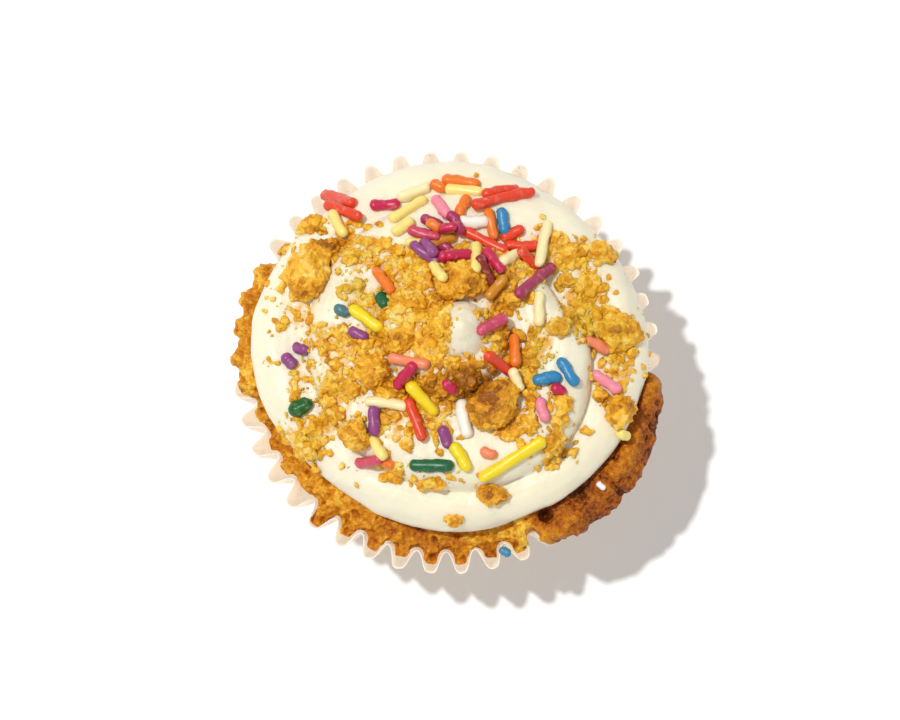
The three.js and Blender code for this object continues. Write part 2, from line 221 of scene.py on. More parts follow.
floor_mesh = bpy.data.meshes.new("floor")
corners = [(x * FLOOR_HALF, y * FLOOR_HALF, 0) for x, y in ((-1, -1), (1, -1), (1, 1), (-1, 1))]
floor_mesh.from_pydata(corners, [], [(0, 1, 2, 3)])
floor = bpy.data.objects.new("floor", floor_mesh)
bpy.context.scene.collection.objects.link(floor)
floor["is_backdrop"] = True
print("the sun shines from", [round(c, 2) for c in sun_way])


# %% A start for every material
def new_material(name, sockets):
    """A material with a Principled shader: its values by socket name, and Object coordinates to read."""
    material = bpy.data.materials.new(name)
    material.use_nodes = True
    tree = material.node_tree
    shader = tree.nodes["Principled BSDF"]
    for socket, value in sockets.items():
        shader.inputs[socket].default_value = value
    return material, tree, shader, add(tree, "ShaderNodeTexCoord", output="Object")


floor_paint, *_ = new_material(
    "matt white studio floor",
    {"Base Color": linear("#f7f6f5"), "Roughness": 0.9, "Specular IOR Level": 0.1},
)
floor.data.materials.append(floor_paint)

# %% [markdown]
# ## The swirl as a height above every place
#
# Piped buttercream is one rope laid in a spiral. Seen from above it never folds over itself, so its top can be written
# as a height over x and y: at each place, the highest of the turns that pass there. The sizes below are the ones the
# CAD model uses, in millimetres. NumPy works them out for many places at once.

# %% Sizes of the cake, in millimetres
FLUTES = 42
BASE_RADIUS = 25.0
RIM_RADIUS = 34.2
WALL_SLANT = 33.5
BASE_FLUTE = 0.45
RIM_FLUTE = 1.75
FLUTE_ROUNDING = 0.3
FLUTE_FULLNESS = 1.55  # above 1, a flute is wider at its tip than the gap between two flutes
WALL_BULGE = 1.6  # how far the sponge presses the wall out halfway up, more than in the straight CAD wall
WALL_UNEVEN = 0.4
PAPER = 0.12

CRUST_MIDDLE = 37.0
CRUST_EDGE = 28.3
CRUST_EDGE_RADIUS = 34.0
CRUST_WITHIN_FLUTES = 30.0
CRUST_DOME = 2.6  # power of its fall from the middle
CRUST_DROOP = 0.5  # fall per mm beyond its edge
RISEN = [  # where the sponge has risen: angle and half width in degrees, rise, reach over the rim, taper, scallop
    (171, 22, 7.0, 35.5, 0.6, 0.6),
    (-33, 30, 8.4, 37.9, 2.5, 0.0),
    (-105, 50, 2.4, 0.0, 0.0, 0.0),
]
RISE_FADE = 16  # degrees
SPREAD_FADE = (-7, 2)  # degrees beside its half width, from where it has spread in full to where it has not
NO_REACH = 35.0  # radius given where the sponge stays inside the case

CREAM_CENTRE = (0.7, 1.7)
TIP_CENTRE = (2.6, 1.9)
CREAM_RADIUS = 31.8
CREAM_LOBE = 0.65  # the outline swells and pulls in by this much, two and four times round
CREAM_OUTLINE = [(248, -0.8, 10, 55), (-42, 0.9, 6, 28)]  # angle, how far out, and the degrees over which it fades
CREAM_EDGE = 4.6  # how far in from its outline the cream's side is rounded
CREAM_WIDEST = 0.36  # share of its height at which the side is widest
MIDDLE_SHIFT = (5, 25)  # the spiral's middle moves from the tip's to the cream's between these radii
ROPE_WIDTH = 11.0
ROPE_DEPTH = 4.2
ROPE_ROUND = 2.4  # power of the rope's round top
SPIRAL_START = 17.0
CREASE = (  # the crease outside each turn of the rope: degrees along the spiral, and radius there
    [17, 35, 61, 90, 112, 234, 283, 316, 341, 362, 375, 455, 600, 700],
    [31.5, 31.2, 28.3, 25.2, 23.6, 23.8, 25.4, 25.9, 24.4, 22.5, 18.8, 14.5, 11.5, 7.5],
)
ROPE_TOP = ([-343, 17, 110, 377, 560, 740], [40.6, 42.3, 44.6, 47.4, 49.6, 51.5])  # degrees, height
TIP_HEIGHT = 56.0
TIP_RADIUS = 5.2
TIP_FALL = 6.5
TIP_TAPER = 1.3  # power of the tip's fall


# %% Heights of the crust and the cream
def smoothstep(value, low, high):
    share = np.clip((value - low) / (high - low), 0, 1)
    return share * share * (3 - 2 * share)


def degrees_between(angle, degrees):
    away = angle - math.radians(degrees)
    return np.abs(np.degrees(np.arctan2(np.sin(away), np.cos(away))))


def overflow(angle):
    """How far the sponge has risen at each angle, how far it has spread over the rim, and out to which radius."""
    rise, spread, reach = np.zeros_like(angle), np.zeros_like(angle), np.full_like(angle, NO_REACH)
    for place, half, height, out, taper, scallop in RISEN:
        away = degrees_between(angle, place)
        rise = np.maximum(rise, height * (1 - smoothstep(away, half, half + RISE_FADE)))
        if out:
            over = 1 - smoothstep(away, half + SPREAD_FADE[0], half + SPREAD_FADE[1])
            edge = out - taper * (away / half) ** 2 + scallop * np.cos(FLUTES * angle)
            reach = np.where(over > 0, edge, reach)
            spread = np.maximum(spread, over)
    return rise, spread, reach


def crust_height(x, y):
    radius = np.hypot(x, y)
    edge = CRUST_EDGE + overflow(np.arctan2(y, x))[0]
    share = np.minimum(1, radius / CRUST_EDGE_RADIUS) ** CRUST_DOME
    return CRUST_MIDDLE + (edge - CRUST_MIDDLE) * share - CRUST_DROOP * np.maximum(0, radius - CRUST_EDGE_RADIUS)


def cream_radius(angle):
    radius = CREAM_RADIUS + CREAM_LOBE * (np.cos(2 * angle) + np.cos(4 * angle))
    for place, out, near, far in CREAM_OUTLINE:
        radius = radius + out * (1 - smoothstep(degrees_between(angle, place), near, far))
    return radius


def edge_height(inwards, top, crust):
    across = np.clip(1 - inwards / CREAM_EDGE, 0, 1)
    low = crust + (top - crust) * CREAM_WIDEST
    return low + (top - low) * np.sqrt(1 - across**2)


def cream_height(x, y):
    x, y = np.asarray(x, float), np.asarray(y, float)
    dx, dy = x - CREAM_CENTRE[0], y - CREAM_CENTRE[1]
    away = np.hypot(dx, dy)
    drift = 1 - smoothstep(away, *MIDDLE_SHIFT)
    mx = dx + (CREAM_CENTRE[0] - TIP_CENTRE[0]) * drift
    my = dy + (CREAM_CENTRE[1] - TIP_CENTRE[1]) * drift
    radius = np.hypot(mx, my)
    spiral = (np.degrees(np.arctan2(my, mx)) - SPIRAL_START) % 360 + SPIRAL_START
    inwards = cream_radius(np.arctan2(dy, dx)) - away
    crust = crust_height(x, y)
    height = edge_height(inwards, np.interp(spiral - 360, *ROPE_TOP), crust)
    for turn in (spiral, spiral + 360):
        across = 1 - 2 * (np.interp(turn, *CREASE) - radius) / ROPE_WIDTH
        top = np.interp(turn, *ROPE_TOP)
        drop = 1 - np.sqrt(np.clip(1 - np.clip(across, 0, 1) ** ROPE_ROUND, 0, 1))
        rope = np.minimum(top - ROPE_DEPTH * drop, edge_height(inwards, top, crust))
        height = np.where(across < 1, np.maximum(height, rope), height)
    tip = TIP_HEIGHT - TIP_FALL * np.minimum(1, radius / TIP_RADIUS) ** TIP_TAPER
    return np.where(radius < TIP_RADIUS, np.maximum(height, tip), height)


print("height of the swirl in mm:", round(float(cream_height(*TIP_CENTRE)), 1))

# %% [markdown]
# ## From rings of points to a skin
#
# The cream and the sponge are both lofts: rings of points, one inside the next, joined by quads and closed by a fan at
# each end. All rings have the same number of points, so the faces follow from counting alone. What varies from point
# to point, such as how brown the crust is, is stored on the mesh for the materials to read.


# %% Skins and pieces
def ring(angle, radius, height, centre=(0, 0)):
    """Points round a centre, at heights that are a function of x and y."""
    x, y = centre[0] + radius * np.cos(angle), centre[1] + radius * np.sin(angle)
    return np.column_stack([x, y, height(x, y)])


def skin(rings, first, last):
    """Rings run from the underside out and up, and in over the top."""
    around = len(rings[0])
    points = np.vstack([[first], *rings, [last]]) * MM
    i = np.arange(around)
    j = (i + 1) % around
    faces = np.column_stack([np.zeros_like(i), 1 + j, 1 + i]).tolist()
    for k in range(len(rings) - 1):
        a, b = 1 + k * around, 1 + (k + 1) * around
        faces += np.column_stack([a + i, a + j, b + j, b + i]).tolist()
    end = 1 + (len(rings) - 1) * around
    faces += np.column_stack([end + i, end + j, np.full_like(i, len(points) - 1)]).tolist()
    mesh = bpy.data.meshes.new("skin")
    mesh.from_pydata(points.tolist(), [], faces)
    return mesh


def points_of(mesh, field="co"):
    """Places of all points, or their normals: read at once, before any of them moves."""
    points = np.zeros(len(mesh.vertices) * 3)
    mesh.vertices.foreach_get(field, points)
    return points.reshape(-1, 3)


def store(mesh, name, values):
    mesh.attributes.new(name, "FLOAT", "POINT").data.foreach_set("value", values)


def waves(point, table):
    """Sum of smooth noises, each given by its height and its width."""
    return sum(height * noise.noise(point / width) for height, width in table)


def piece_from(mesh, name, material, slot, *nodes):
    """Puts a finished mesh into the scene as a piece that stands for CAD nodes."""
    mesh.name = name
    mesh.shade_smooth()
    if material is not None:
        mesh.materials.clear()
        mesh.materials.append(material)
    piece = bpy.data.objects.new(name, mesh)
    bpy.context.scene.collection.objects.link(piece)
    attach(piece, "root")
    if nodes:
        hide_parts(*nodes)
    print(name, "has", sum(len(face.vertices) - 2 for face in mesh.polygons), "triangles")
    return piece


def geometry_tree(name, inputs):
    """A Geometry Nodes tree with a geometry input, and the named inputs with their default values."""
    tree = bpy.data.node_groups.new(name, "GeometryNodeTree")
    tree.interface.new_socket("Geometry", in_out="INPUT", socket_type="NodeSocketGeometry")
    for label, value in inputs.items():
        kinds = {bool: "NodeSocketBool", int: "NodeSocketInt", float: "NodeSocketFloat"}
        kind = kinds.get(type(value), "NodeSocketMaterial")
        tree.interface.new_socket(label, in_out="INPUT", socket_type=kind).default_value = value
    tree.interface.new_socket("Geometry", in_out="OUTPUT", socket_type="NodeSocketGeometry")
    return tree, {socket.name: socket for socket in tree.nodes.new("NodeGroupInput").outputs}


def close_tree(tree, geometry, material):
    """Ends a tree the way the export needs: no instances left, and a material on every face."""
    geometry = add(tree, "GeometryNodeRealizeInstances", [geometry])
    geometry = add(tree, "GeometryNodeSetMaterial", {"Geometry": geometry, "Material": material})
    tree.links.new(geometry, tree.nodes.new("NodeGroupOutput").inputs[0])


def grown(mesh, tree, values, before=(), after=()):
    """Runs a tree, and the modifiers before and after it, on a mesh and hands the result back as a plain mesh."""
    seed = bpy.data.objects.new("seed", mesh)
    bpy.context.scene.collection.objects.link(seed)
    for kind, settings in (*before, ("NODES", {"node_group": tree}), *after):
        modifier = seed.modifiers.new(kind.lower(), kind)
        for setting, value in settings.items():
            setattr(modifier, setting, value)
        if kind == "NODES":
            for item in tree.interface.items_tree:
                if item.in_out == "INPUT" and item.name in values:
                    modifier[item.identifier] = values[item.name]
    graph = bpy.context.evaluated_depsgraph_get()
    result = bpy.data.meshes.new_from_object(
        seed.evaluated_get(graph), preserve_all_data_layers=True, depsgraph=graph
    )
    bpy.data.objects.remove(seed)
    return result


# %% [markdown]
# ## The paper case
#
# A cupcake case starts as a flat disc of greaseproof paper that is pressed into flutes. Its shape follows a rule: at
# each angle round the cake the wall swings in and out, and every line up the wall keeps its length. The baked sponge
# then presses the wall out by a millimetre and a half halfway up. Geometry Nodes bend a plain grid by that rule, which
# is written here as a table of sums. A Solidify modifier then gives the sheet its thickness.

# %% Rule of the paper case
CASE_RULE = [  # result, operation, terms: a term is an earlier result, an input of the tree or a number
    ("all rows", "ADD", "Rows", "Floor Rows"),
    ("minus floor", "MULTIPLY", "Floor Rows", -1.0),
    ("up", "MULTIPLY_ADD", "across", "all rows", "minus floor"),
    ("share", "DIVIDE", "up", "Rows"),
    ("share", "MAXIMUM", "share", 0.0),
    ("to edge", "MULTIPLY", "across", "all rows"),
    ("to edge", "DIVIDE", "to edge", "Floor Rows"),
    ("to edge", "MINIMUM", "to edge", 1.0),
    ("angle", "MULTIPLY", "around", math.tau),
    ("turn", "MULTIPLY", "angle", "Flutes"),
    ("swing", "COSINE", "turn"),
    ("swing", "MULTIPLY_ADD", "swing", -0.5, 0.5),
    ("swing", "POWER", "swing", "Fullness"),
    ("swing", "MULTIPLY_ADD", "swing", -2.0, 1.0),
    ("middle", "SUBTRACT", "Rim Radius", "Base Radius"),
    ("middle", "MULTIPLY_ADD", "middle", "share", "Base Radius"),
    ("depth", "SUBTRACT", "Rim Flute", "Base Flute"),
    ("depth", "MULTIPLY_ADD", "depth", "share", "Base Flute"),
    ("radius", "MULTIPLY_ADD", "depth", "swing", "middle"),
    ("foot", "MULTIPLY_ADD", "Base Flute", "swing", "Base Radius"),
    ("run", "SUBTRACT", "radius", "foot"),
    ("run", "MULTIPLY", "run", "run"),
    ("slope", "MULTIPLY", "Slant", "share"),
    ("slope", "MULTIPLY", "slope", "slope"),
    ("height", "SUBTRACT", "slope", "run"),
    ("height", "SQRT", "height"),
    ("bulge", "MULTIPLY", "share", math.pi),
    ("bulge", "SINE", "bulge"),
    ("radius", "MULTIPLY_ADD", "bulge", "Bulge", "radius"),
    ("lean", "MULTIPLY", "turn", 2.0),
    ("lean", "SINE", "lean"),
    ("lean", "MULTIPLY", "lean", "Rounding"),
    ("lean", "MULTIPLY", "lean", "share"),
    ("lean", "DIVIDE", "lean", "radius"),
    ("push", "MULTIPLY", "Unevenness", "share"),
    ("radius", "MULTIPLY_ADD", "push", "uneven fold", "radius"),
    ("radius", "MULTIPLY", "radius", "to edge"),
    ("height", "MULTIPLY_ADD", "push", "uneven rim", "height"),
    ("angle", "ADD", "angle", "lean"),
    ("cosine", "COSINE", "angle"),
    ("sine", "SINE", "angle"),
    ("x", "MULTIPLY", "radius", "cosine"),
    ("y", "MULTIPLY", "radius", "sine"),
]
print("the rule of the case has", len(CASE_RULE), "steps")

# %% Tree of the paper case
case_tree, term = geometry_tree("pleated case", {
    "Flutes": FLUTES,
    "Points per Flute": 16,
    "Rows": 34,
    "Floor Rows": 4,
    "Base Radius": BASE_RADIUS * MM,
    "Rim Radius": RIM_RADIUS * MM,
    "Base Flute": BASE_FLUTE * MM,
    "Rim Flute": RIM_FLUTE * MM,
    "Slant": WALL_SLANT * MM,
    "Rounding": 0.1 * MM,
    "Fullness": FLUTE_FULLNESS,
    "Bulge": WALL_BULGE * MM,
    "Unevenness": WALL_UNEVEN * MM,
    "Seed": 3.0,
    "Paper": None,
})
columns = [term["Flutes"], term["Points per Flute"], 1.0]
columns = add(case_tree, "ShaderNodeMath", columns, operation="MULTIPLY_ADD")
rows = add(case_tree, "ShaderNodeMath", [term["Rows"], term["Floor Rows"]])
rows = add(case_tree, "ShaderNodeMath", [rows, 1.0])
grid = add(case_tree, "GeometryNodeMeshGrid", [1.0, 1.0, rows, columns])
spot = add(case_tree, "ShaderNodeSeparateXYZ", [add(case_tree, "GeometryNodeInputPosition")]).node.outputs
term["across"] = add(case_tree, "ShaderNodeMath", [spot["X"], 0.5])
term["around"] = add(case_tree, "ShaderNodeMath", [spot["Y"], 0.5])
full_turn = add(case_tree, "ShaderNodeMath", [term["around"], math.tau], operation="MULTIPLY")
on_circle = add(case_tree, "ShaderNodeCombineXYZ", [
    add(case_tree, "ShaderNodeMath", [full_turn], operation="COSINE"),
    add(case_tree, "ShaderNodeMath", [full_turn], operation="SINE"),
    term["across"],
])
for name, scale in (("uneven fold", 11.0), ("uneven rim", 4.0)):
    folds = {"Vector": on_circle, "W": term["Seed"], "Scale": scale, "Detail": 1.0}
    folds = add(case_tree, "ShaderNodeTexNoise", folds, noise_dimensions="4D")
    term[name] = add(case_tree, "ShaderNodeMapRange", [folds, 0.2, 0.8, -1.0, 1.0])
for result, operation, *terms in CASE_RULE:
    term[result] = add(case_tree, "ShaderNodeMath", [term.get(t, t) for t in terms], operation=operation)
bent = add(case_tree, "ShaderNodeCombineXYZ", [term["x"], term["y"], term["height"]])
sheet = add(case_tree, "GeometryNodeSetPosition", {"Geometry": grid, "Position": bent})
sheet = add(case_tree, "GeometryNodeMergeByDistance", {"Geometry": sheet, "Distance": 0.02 * MM})
sheet = add(case_tree, "GeometryNodeFlipFaces", [sheet])
close_tree(case_tree, sheet, term["Paper"])

# %% [markdown]
# ### Greaseproof paper
#
# The paper is thin, pale and slightly waxed. Light goes through it, so it gets subsurface scattering and a faint
# painted glow that stands in for the daylight that the thin rim passes on from outside.
# Below the crust the cake leans on it and butter has soaked in, so it turns warm and blotchy there. Here and there a
# speck of crust sticks to it.

# %% Greaseproof paper
paper, tree, shader, place = new_material(
    "waxed greaseproof paper",
    {
        "Roughness": 0.48,  # waxed, so it shines a little
        # painted light: a faint glow on the paper stands in for the daylight that the thin rim passes on from outside
        "Emission Color": linear("#fff2de"),
        "Emission Strength": 0.24,  # stands for the daylight that the thin rim passes on from outside
        "Subsurface Weight": 1.0,
        "Subsurface Scale": 1.5 * MM,
        "Subsurface Radius": (1.0, 0.9, 0.8),
    },
)
height = add(tree, "ShaderNodeSeparateXYZ", [place], output="Z")
blotches = add(tree, "ShaderNodeTexNoise", {"Vector": place, "Scale": 240.0, "Detail": 4.0})  # 4 mm blotches
soaked = add(tree, "ShaderNodeMapRange", [blotches, 0.3, 0.75, 0.1, 0.75])
low_down = add(tree, "ShaderNodeMapRange", [height, 29 * MM, 24 * MM, 0.0, 1.0])
soaked = add(tree, "ShaderNodeMath", [soaked, low_down], operation="MULTIPLY", use_clamp=True)
tint = {0: soaked, 6: linear("#dfccb2"), 7: linear("#cfb084")}
tint = add(tree, "ShaderNodeMix", tint, output=2, data_type="RGBA")
specks = add(tree, "ShaderNodeTexVoronoi", {"Vector": place, "Scale": 900.0, "Randomness": 1.0})
specks = add(tree, "ShaderNodeMapRange", [specks, 0.16, 0.24, 1.0, 0.0])
where = add(tree, "ShaderNodeTexNoise", {"Vector": place, "Scale": 160.0, "Detail": 1.0})
where = add(tree, "ShaderNodeMapRange", [where, 0.56, 0.64, 0.0, 0.8])
specks = add(tree, "ShaderNodeMath", [specks, where], operation="MULTIPLY")
speckled = add(tree, "ShaderNodeMix", {0: specks, 6: tint, 7: linear("#c06a24")}, output=2, data_type="RGBA")
fibres = add(tree, "ShaderNodeTexNoise", {"Vector": place, "Scale": 1400.0, "Detail": 3.0})  # 0.7 mm, to show
fibres = add(tree, "ShaderNodeBump", {"Height": fibres, "Strength": 0.25, "Distance": 0.06 * MM})
connect(shader, {"Base Color": speckled, "Normal": fibres})

# %% Paper case
case_mesh = grown(
    bpy.data.meshes.new("empty"),
    case_tree,
    {"Paper": paper},
    after=[("SOLIDIFY", {"thickness": PAPER * MM, "offset": -1.0})],
)
piece_from(case_mesh, "pleated_paper_case", None, "paper_case", "paper_case")

# %% [markdown]
# ## The sponge
#
# The sponge fills the flutes of its case. It has risen over the rim on the left, where it is pale and crumbly, and at
# the lower right, where it has run out as a smooth, darker lobe. It is a loft of rings, from the foot up the paper,
# round the lip of the crust and in under the cream. Grain, pores and a crack are then pushed into the points, so that
# they are real shapes and not only a bump in the shading.

# %% Rings of the sponge
POINTS_PER_FLUTE = 20
WALL_ROWS = 8
CRUST_ROWS = 22
LIP_ROUND = 2.4  # radius of the lip of the crust
LIP_STEPS = range(-90, 91, 11)  # degrees from the underside of the lip to its top
LEAST_REACH = 0.15  # how far the lip stands out from the wall at least
LIP_UNDER = 2.2  # how far in from its edge the underside of the overflow starts
SPONGE_GAP = 0.12  # between the sponge and the paper
OVER_RIM = 0.7  # how far the sponge's wall may rise above the paper
INNER_RINGS = (25.0, 18.0, 9.0)  # radii under the cream
FILL = (0.18, 0.35)  # how far a common flute is filled, and how much that varies
FULL_FRONT = (-88, 28, 46)  # the front flutes are fuller: their middle, and the degrees over which that fades
FULL_FLUTE = (231.4, 3.2, 5.2)  # and one of them is full


def flute_points(share, inset, fill):
    """The wall of the case at a share of its height. A fill of 1 goes out to the tips of the flutes, 0 to the folds."""

    def at(step):
        turn = step / POINTS_PER_FLUTE * 2 * np.pi
        swing = 1 - 2 * ((1 - np.cos(turn)) / 2) ** FLUTE_FULLNESS
        flute = BASE_FLUTE + (RIM_FLUTE - BASE_FLUTE) * share
        foot = BASE_RADIUS + BASE_FLUTE * swing
        radius = BASE_RADIUS + (RIM_RADIUS - BASE_RADIUS) * share + flute * swing
        height = np.sqrt((WALL_SLANT * share) ** 2 - (radius - foot) ** 2)
        angle = step / (FLUTES * POINTS_PER_FLUTE) * 2 * np.pi + FLUTE_ROUNDING * share * np.sin(2 * turn) / radius
        radius = radius - (1 - fill) * flute * (swing + 1)
        return np.column_stack([radius * np.cos(angle), radius * np.sin(angle), height])

    step = np.arange(FLUTES * POINTS_PER_FLUTE)
    along = at(step + 1) - at(step - 1)
    along /= np.hypot(along[:, 0], along[:, 1])[:, None]
    points = at(step)
    points[:, 0] -= along[:, 1] * inset
    points[:, 1] += along[:, 0] * inset
    return points


def flute_fill():
    """How far the sponge fills each flute: most at the front and where it overflows, and never quite evenly."""
    angle = np.arange(FLUTES * POINTS_PER_FLUTE) / (FLUTES * POINTS_PER_FLUTE) * 2 * np.pi
    uneven = np.array([noise.noise(Vector((7 * math.cos(a), 7 * math.sin(a), 4.4))) for a in angle])
    front, one_flute = (
        1 - smoothstep(degrees_between(angle, middle), near, far) for middle, near, far in (FULL_FRONT, FULL_FLUTE)
    )
    risen = overflow(angle)[1] * np.where(np.abs(angle - np.pi) < 1, 0.7, 0.3)  # more on the left
    fill = FILL[0] + 0.5 * front + FILL[1] * uneven + risen
    return np.clip(np.maximum(fill, one_flute), 0.02, 1.0)


def sponge_rings():
    inset = PAPER + SPONGE_GAP
    fill = flute_fill()
    foot, rim = (flute_points(share, inset, fill) for share in (0, 1))
    foot[:, 2] = PAPER
    angle = np.arctan2(rim[:, 1], rim[:, 0])
    rise, spread, reach = overflow(angle)
    wall_top = np.minimum(rim[:, 2] + OVER_RIM, CRUST_EDGE + rise)

    def up_the_wall(share):
        slide = (share * (wall_top - PAPER) / (rim[:, 2] - PAPER))[:, None]
        return foot + (rim - foot) * slide

    rings = [foot * (0.5, 0.5, 1)] + [up_the_wall(row / WALL_ROWS) for row in range(WALL_ROWS + 1)]
    wall = np.hypot(rings[-1][:, 0], rings[-1][:, 1])
    reach = np.maximum(reach, wall + LEAST_REACH)
    start = np.maximum(reach - LIP_UNDER, wall)
    for degrees in LIP_STEPS:
        up, out = math.sin(math.radians(degrees)), math.cos(math.radians(degrees))
        over = reach - (reach - start if degrees < 0 else LIP_ROUND) * (1 - out)
        within = wall - (wall - CRUST_WITHIN_FLUTES) * (1 + up) / 2
        radius = within + (over - within) * spread
        share = min(1, 2 * (1 + up)) * (1 - spread) + (1 + up) / 2 * spread
        rings.append(ring(angle, radius, lambda x, y: wall_top + (crust_height(x, y) - wall_top) * share))
    inwards = [radius + (INNER_RINGS[0] - radius) * row / CRUST_ROWS for row in range(1, CRUST_ROWS + 1)]
    return rings + [ring(angle, inner, crust_height) for inner in (*inwards, *INNER_RINGS[1:])]


sponge_mesh = skin(sponge_rings(), (0, 0, PAPER), (0, 0, CRUST_MIDDLE))
print("points round the sponge:", FLUTES * POINTS_PER_FLUTE)

# %% Grain of the crust
LOBE = (-33, 30)  # the smooth lobe: its middle and half width in degrees
CRUMBLY = (-67, 6)  # a paler, torn patch in front of the lobe: its middle and half width in degrees
FRONT = (-95, 40)  # the front is browner than the sides: its middle and half width in degrees

# All below in mm.
ROUGH_CRUST = [(0.65, 3.1), (0.4, 1.1), (0.32, 0.55)]  # heights and widths of its waves
SMOOTH_CRUST = [(0.8, 4.2), (0.3, 1.3), (0.192, 0.55)]  # the same on the lobe
BEAD = 0.95  # width of the round grains
PORE, PORE_SHARE, PORE_DEPTH = 2.3, 0.34, 0.8  # width of a cell, share of it that its pore takes up
SWELL, SWELL_RADIUS, SWELL_WIDTH = 0.9, 34.3, 1.6  # the lobe swells against the cream
HOLE, HOLE_RADIUS, HOLE_DEPTH = Vector((16.4, -26.8)), 1.5, 2.4  # a burst bubble beside the lobe
CRACK, CRACK_FROM, CRACK_HALF, CRACK_DEPTH = -38.0, 32.5, 0.8, 1.1  # its angle in degrees, and where it starts
CRACK_BENDS = [(0.7, 1.4)]


def crust_push(p, lobe):
    """How far a point of the crust is pushed out, in mm. Pores and the crack push it in."""
    beads = noise.voronoi(p / BEAD)[0][0]
    push = waves(p, ROUGH_CRUST) + 0.6 * (0.45 - beads)
    smooth = waves(p, SMOOTH_CRUST) + 0.25 * (0.4 - beads)
    push += (smooth - push) * lobe
    pore = noise.voronoi(p / PORE)[0][0]
    if pore < PORE_SHARE:
        push -= PORE_DEPTH * (1 - (pore / PORE_SHARE) ** 2)
    away = math.hypot(p.x, p.y)
    push += SWELL * lobe * math.exp(-(((away - SWELL_RADIUS) / SWELL_WIDTH) ** 2))
    push -= HOLE_DEPTH * max(0, 1 - (p.xy - HOLE).length / HOLE_RADIUS)
    line = away * math.radians(math.degrees(math.atan2(p.y, p.x)) - CRACK) + waves(p, CRACK_BENDS)
    if away > CRACK_FROM and abs(line) < CRACK_HALF:
        push -= CRACK_DEPTH * (1 - abs(line) / CRACK_HALF)
    return push


def grain_crust(mesh):
    count = FLUTES * POINTS_PER_FLUTE
    first = 1 + (WALL_ROWS + 2) * count
    browned_and_shaded = np.zeros(len(mesh.vertices))
    for i, (vertex, normal) in enumerate(zip(mesh.vertices, map(Vector, points_of(mesh, "normal")))):
        p = vertex.co / MM
        away = float(degrees_between(np.array(math.atan2(p.y, p.x)), LOBE[0]))
        lobe = 1 - float(smoothstep(away, LOBE[1] - 4, LOBE[1] + 6))
        degrees = math.degrees(math.atan2(p.y, p.x))
        front, torn = (math.exp(-(((degrees - middle) / half) ** 2)) for middle, half in (FRONT, CRUMBLY))
        browned_and_shaded[i] = max(1.1 * lobe, 0.32 + 0.28 * front) - 0.4 * torn
        if i >= first:
            row = (i - first) // count
            push = crust_push(p, lobe)
            vertex.co += normal * push * min(1, (row + 1) / 4) * MM
            # painted shade and light: points pushed into pores, the crack and the burst bubble are coloured darker,
            # raised grains lighter
            browned_and_shaded[i] -= (0.6 - 0.25 * lobe) * push
    store(mesh, "browned_and_shaded", browned_and_shaded)


grain_crust(sponge_mesh)

# %% [markdown]
# ### Baked crust
#
# A baked crust is matt, with a faint glint where butter and sugar have come to the surface. The attribute that the
# last cell stored says how brown each point is, with painted shade in its pores and crack and painted light on its
# raised grains. The colour ramp goes from golden through brown to the dark lobe.

# %% Baked crust
crust, tree, shader, place = new_material(
    "baked sponge crust",
    {
        "Subsurface Weight": 0.12,
        "Subsurface Scale": 1.2 * MM,
        "Subsurface Radius": (1.0, 0.45, 0.2),
        "Specular IOR Level": 0.22,
    },
)
# how brown the crust is, with painted shade in its pores and crack and painted light on its raised grains
brown = add(tree, "ShaderNodeAttribute", attribute_name="browned_and_shaded", output="Fac")
mottle = add(tree, "ShaderNodeTexNoise", {"Vector": place, "Scale": 1300.0, "Detail": 6.0, "Roughness": 0.7})
mottle = add(tree, "ShaderNodeMapRange", [mottle, 0.28, 0.72, -0.33, 0.33])
brown = add(tree, "ShaderNodeMath", [brown, 0.8, mottle], operation="MULTIPLY_ADD")
colours = add(tree, "ShaderNodeValToRGB", [brown])
BROWNS = [(0.0, "#f8c846"), (0.2, "#eba428"), (0.4, "#d38712"), (0.65, "#bb6a0c"), (0.85, "#a04e0a"), (1.0, "#5e2a04")]
paint_ramp(colours.node.color_ramp, BROWNS)
glint = add(tree, "ShaderNodeTexNoise", {"Vector": place, "Scale": 1700.0, "Detail": 2.0})  # 0.6 mm beads of butter
glint = add(tree, "ShaderNodeMapRange", [glint, 0.42, 0.62, 0.62, 0.2])
grains = add(tree, "ShaderNodeTexVoronoi", {"Vector": place, "Scale": 1150.0})  # 0.9 mm grains
grains = add(tree, "ShaderNodeMapRange", [grains, 0.0, 0.8, 1.0, 0.0])
grains = add(tree, "ShaderNodeBump", {"Height": grains, "Strength": 0.9, "Distance": 0.32 * MM})
fine = add(tree, "ShaderNodeTexNoise", {"Vector": place, "Scale": 2400.0, "Detail": 3.0})  # 0.4 mm
fine = add(tree, "ShaderNodeBump", {"Height": fine, "Normal": grains, "Strength": 0.8, "Distance": 0.3 * MM})
connect(shader, {"Base Color": colours, "Roughness": glint, "Normal": fine})
sponge = piece_from(sponge_mesh, "golden_sponge", crust, "sponge", "sponge")

# %% [markdown]
# ## The buttercream
#
# The swirl is a skin over the height function above. Its edge is rounded like the side of a rope, and its underside
# follows the crust, or rests on the paper's rim where it hangs over. A piping nozzle leaves long, fine wrinkles, so
# noise that is drawn out along the rope is added to it, with broad swells and small dents.

# %% Rings of the cream
AROUND = 480
TOP_ROWS = 150
SIDE_STEPS = range(90, 0, -9)  # degrees round the cream's side, from under it to its widest place
SHOULDER_STEPS = range(0, 45, 4)  # degrees, on from there over its rounded edge
RIM_TOP = math.sqrt(WALL_SLANT**2 - (RIM_RADIUS - RIM_FLUTE - BASE_RADIUS + BASE_FLUTE) ** 2)
UNDERSIDE = 0.5  # how far the hidden middle of the underside lies in the crust
WRINKLES = (3.2, 0.9)  # waves round the tip, and their width across the rope in mm
SWELLS = Vector((4.5, 4.5, 3.0))  # widths in mm
ALONG, BROAD = 0.072, 0.306  # heights of the wrinkles and swells in mm
DENTS = [(0.063, 1.2), (0.0378, 2.3)]  # heights and widths in mm


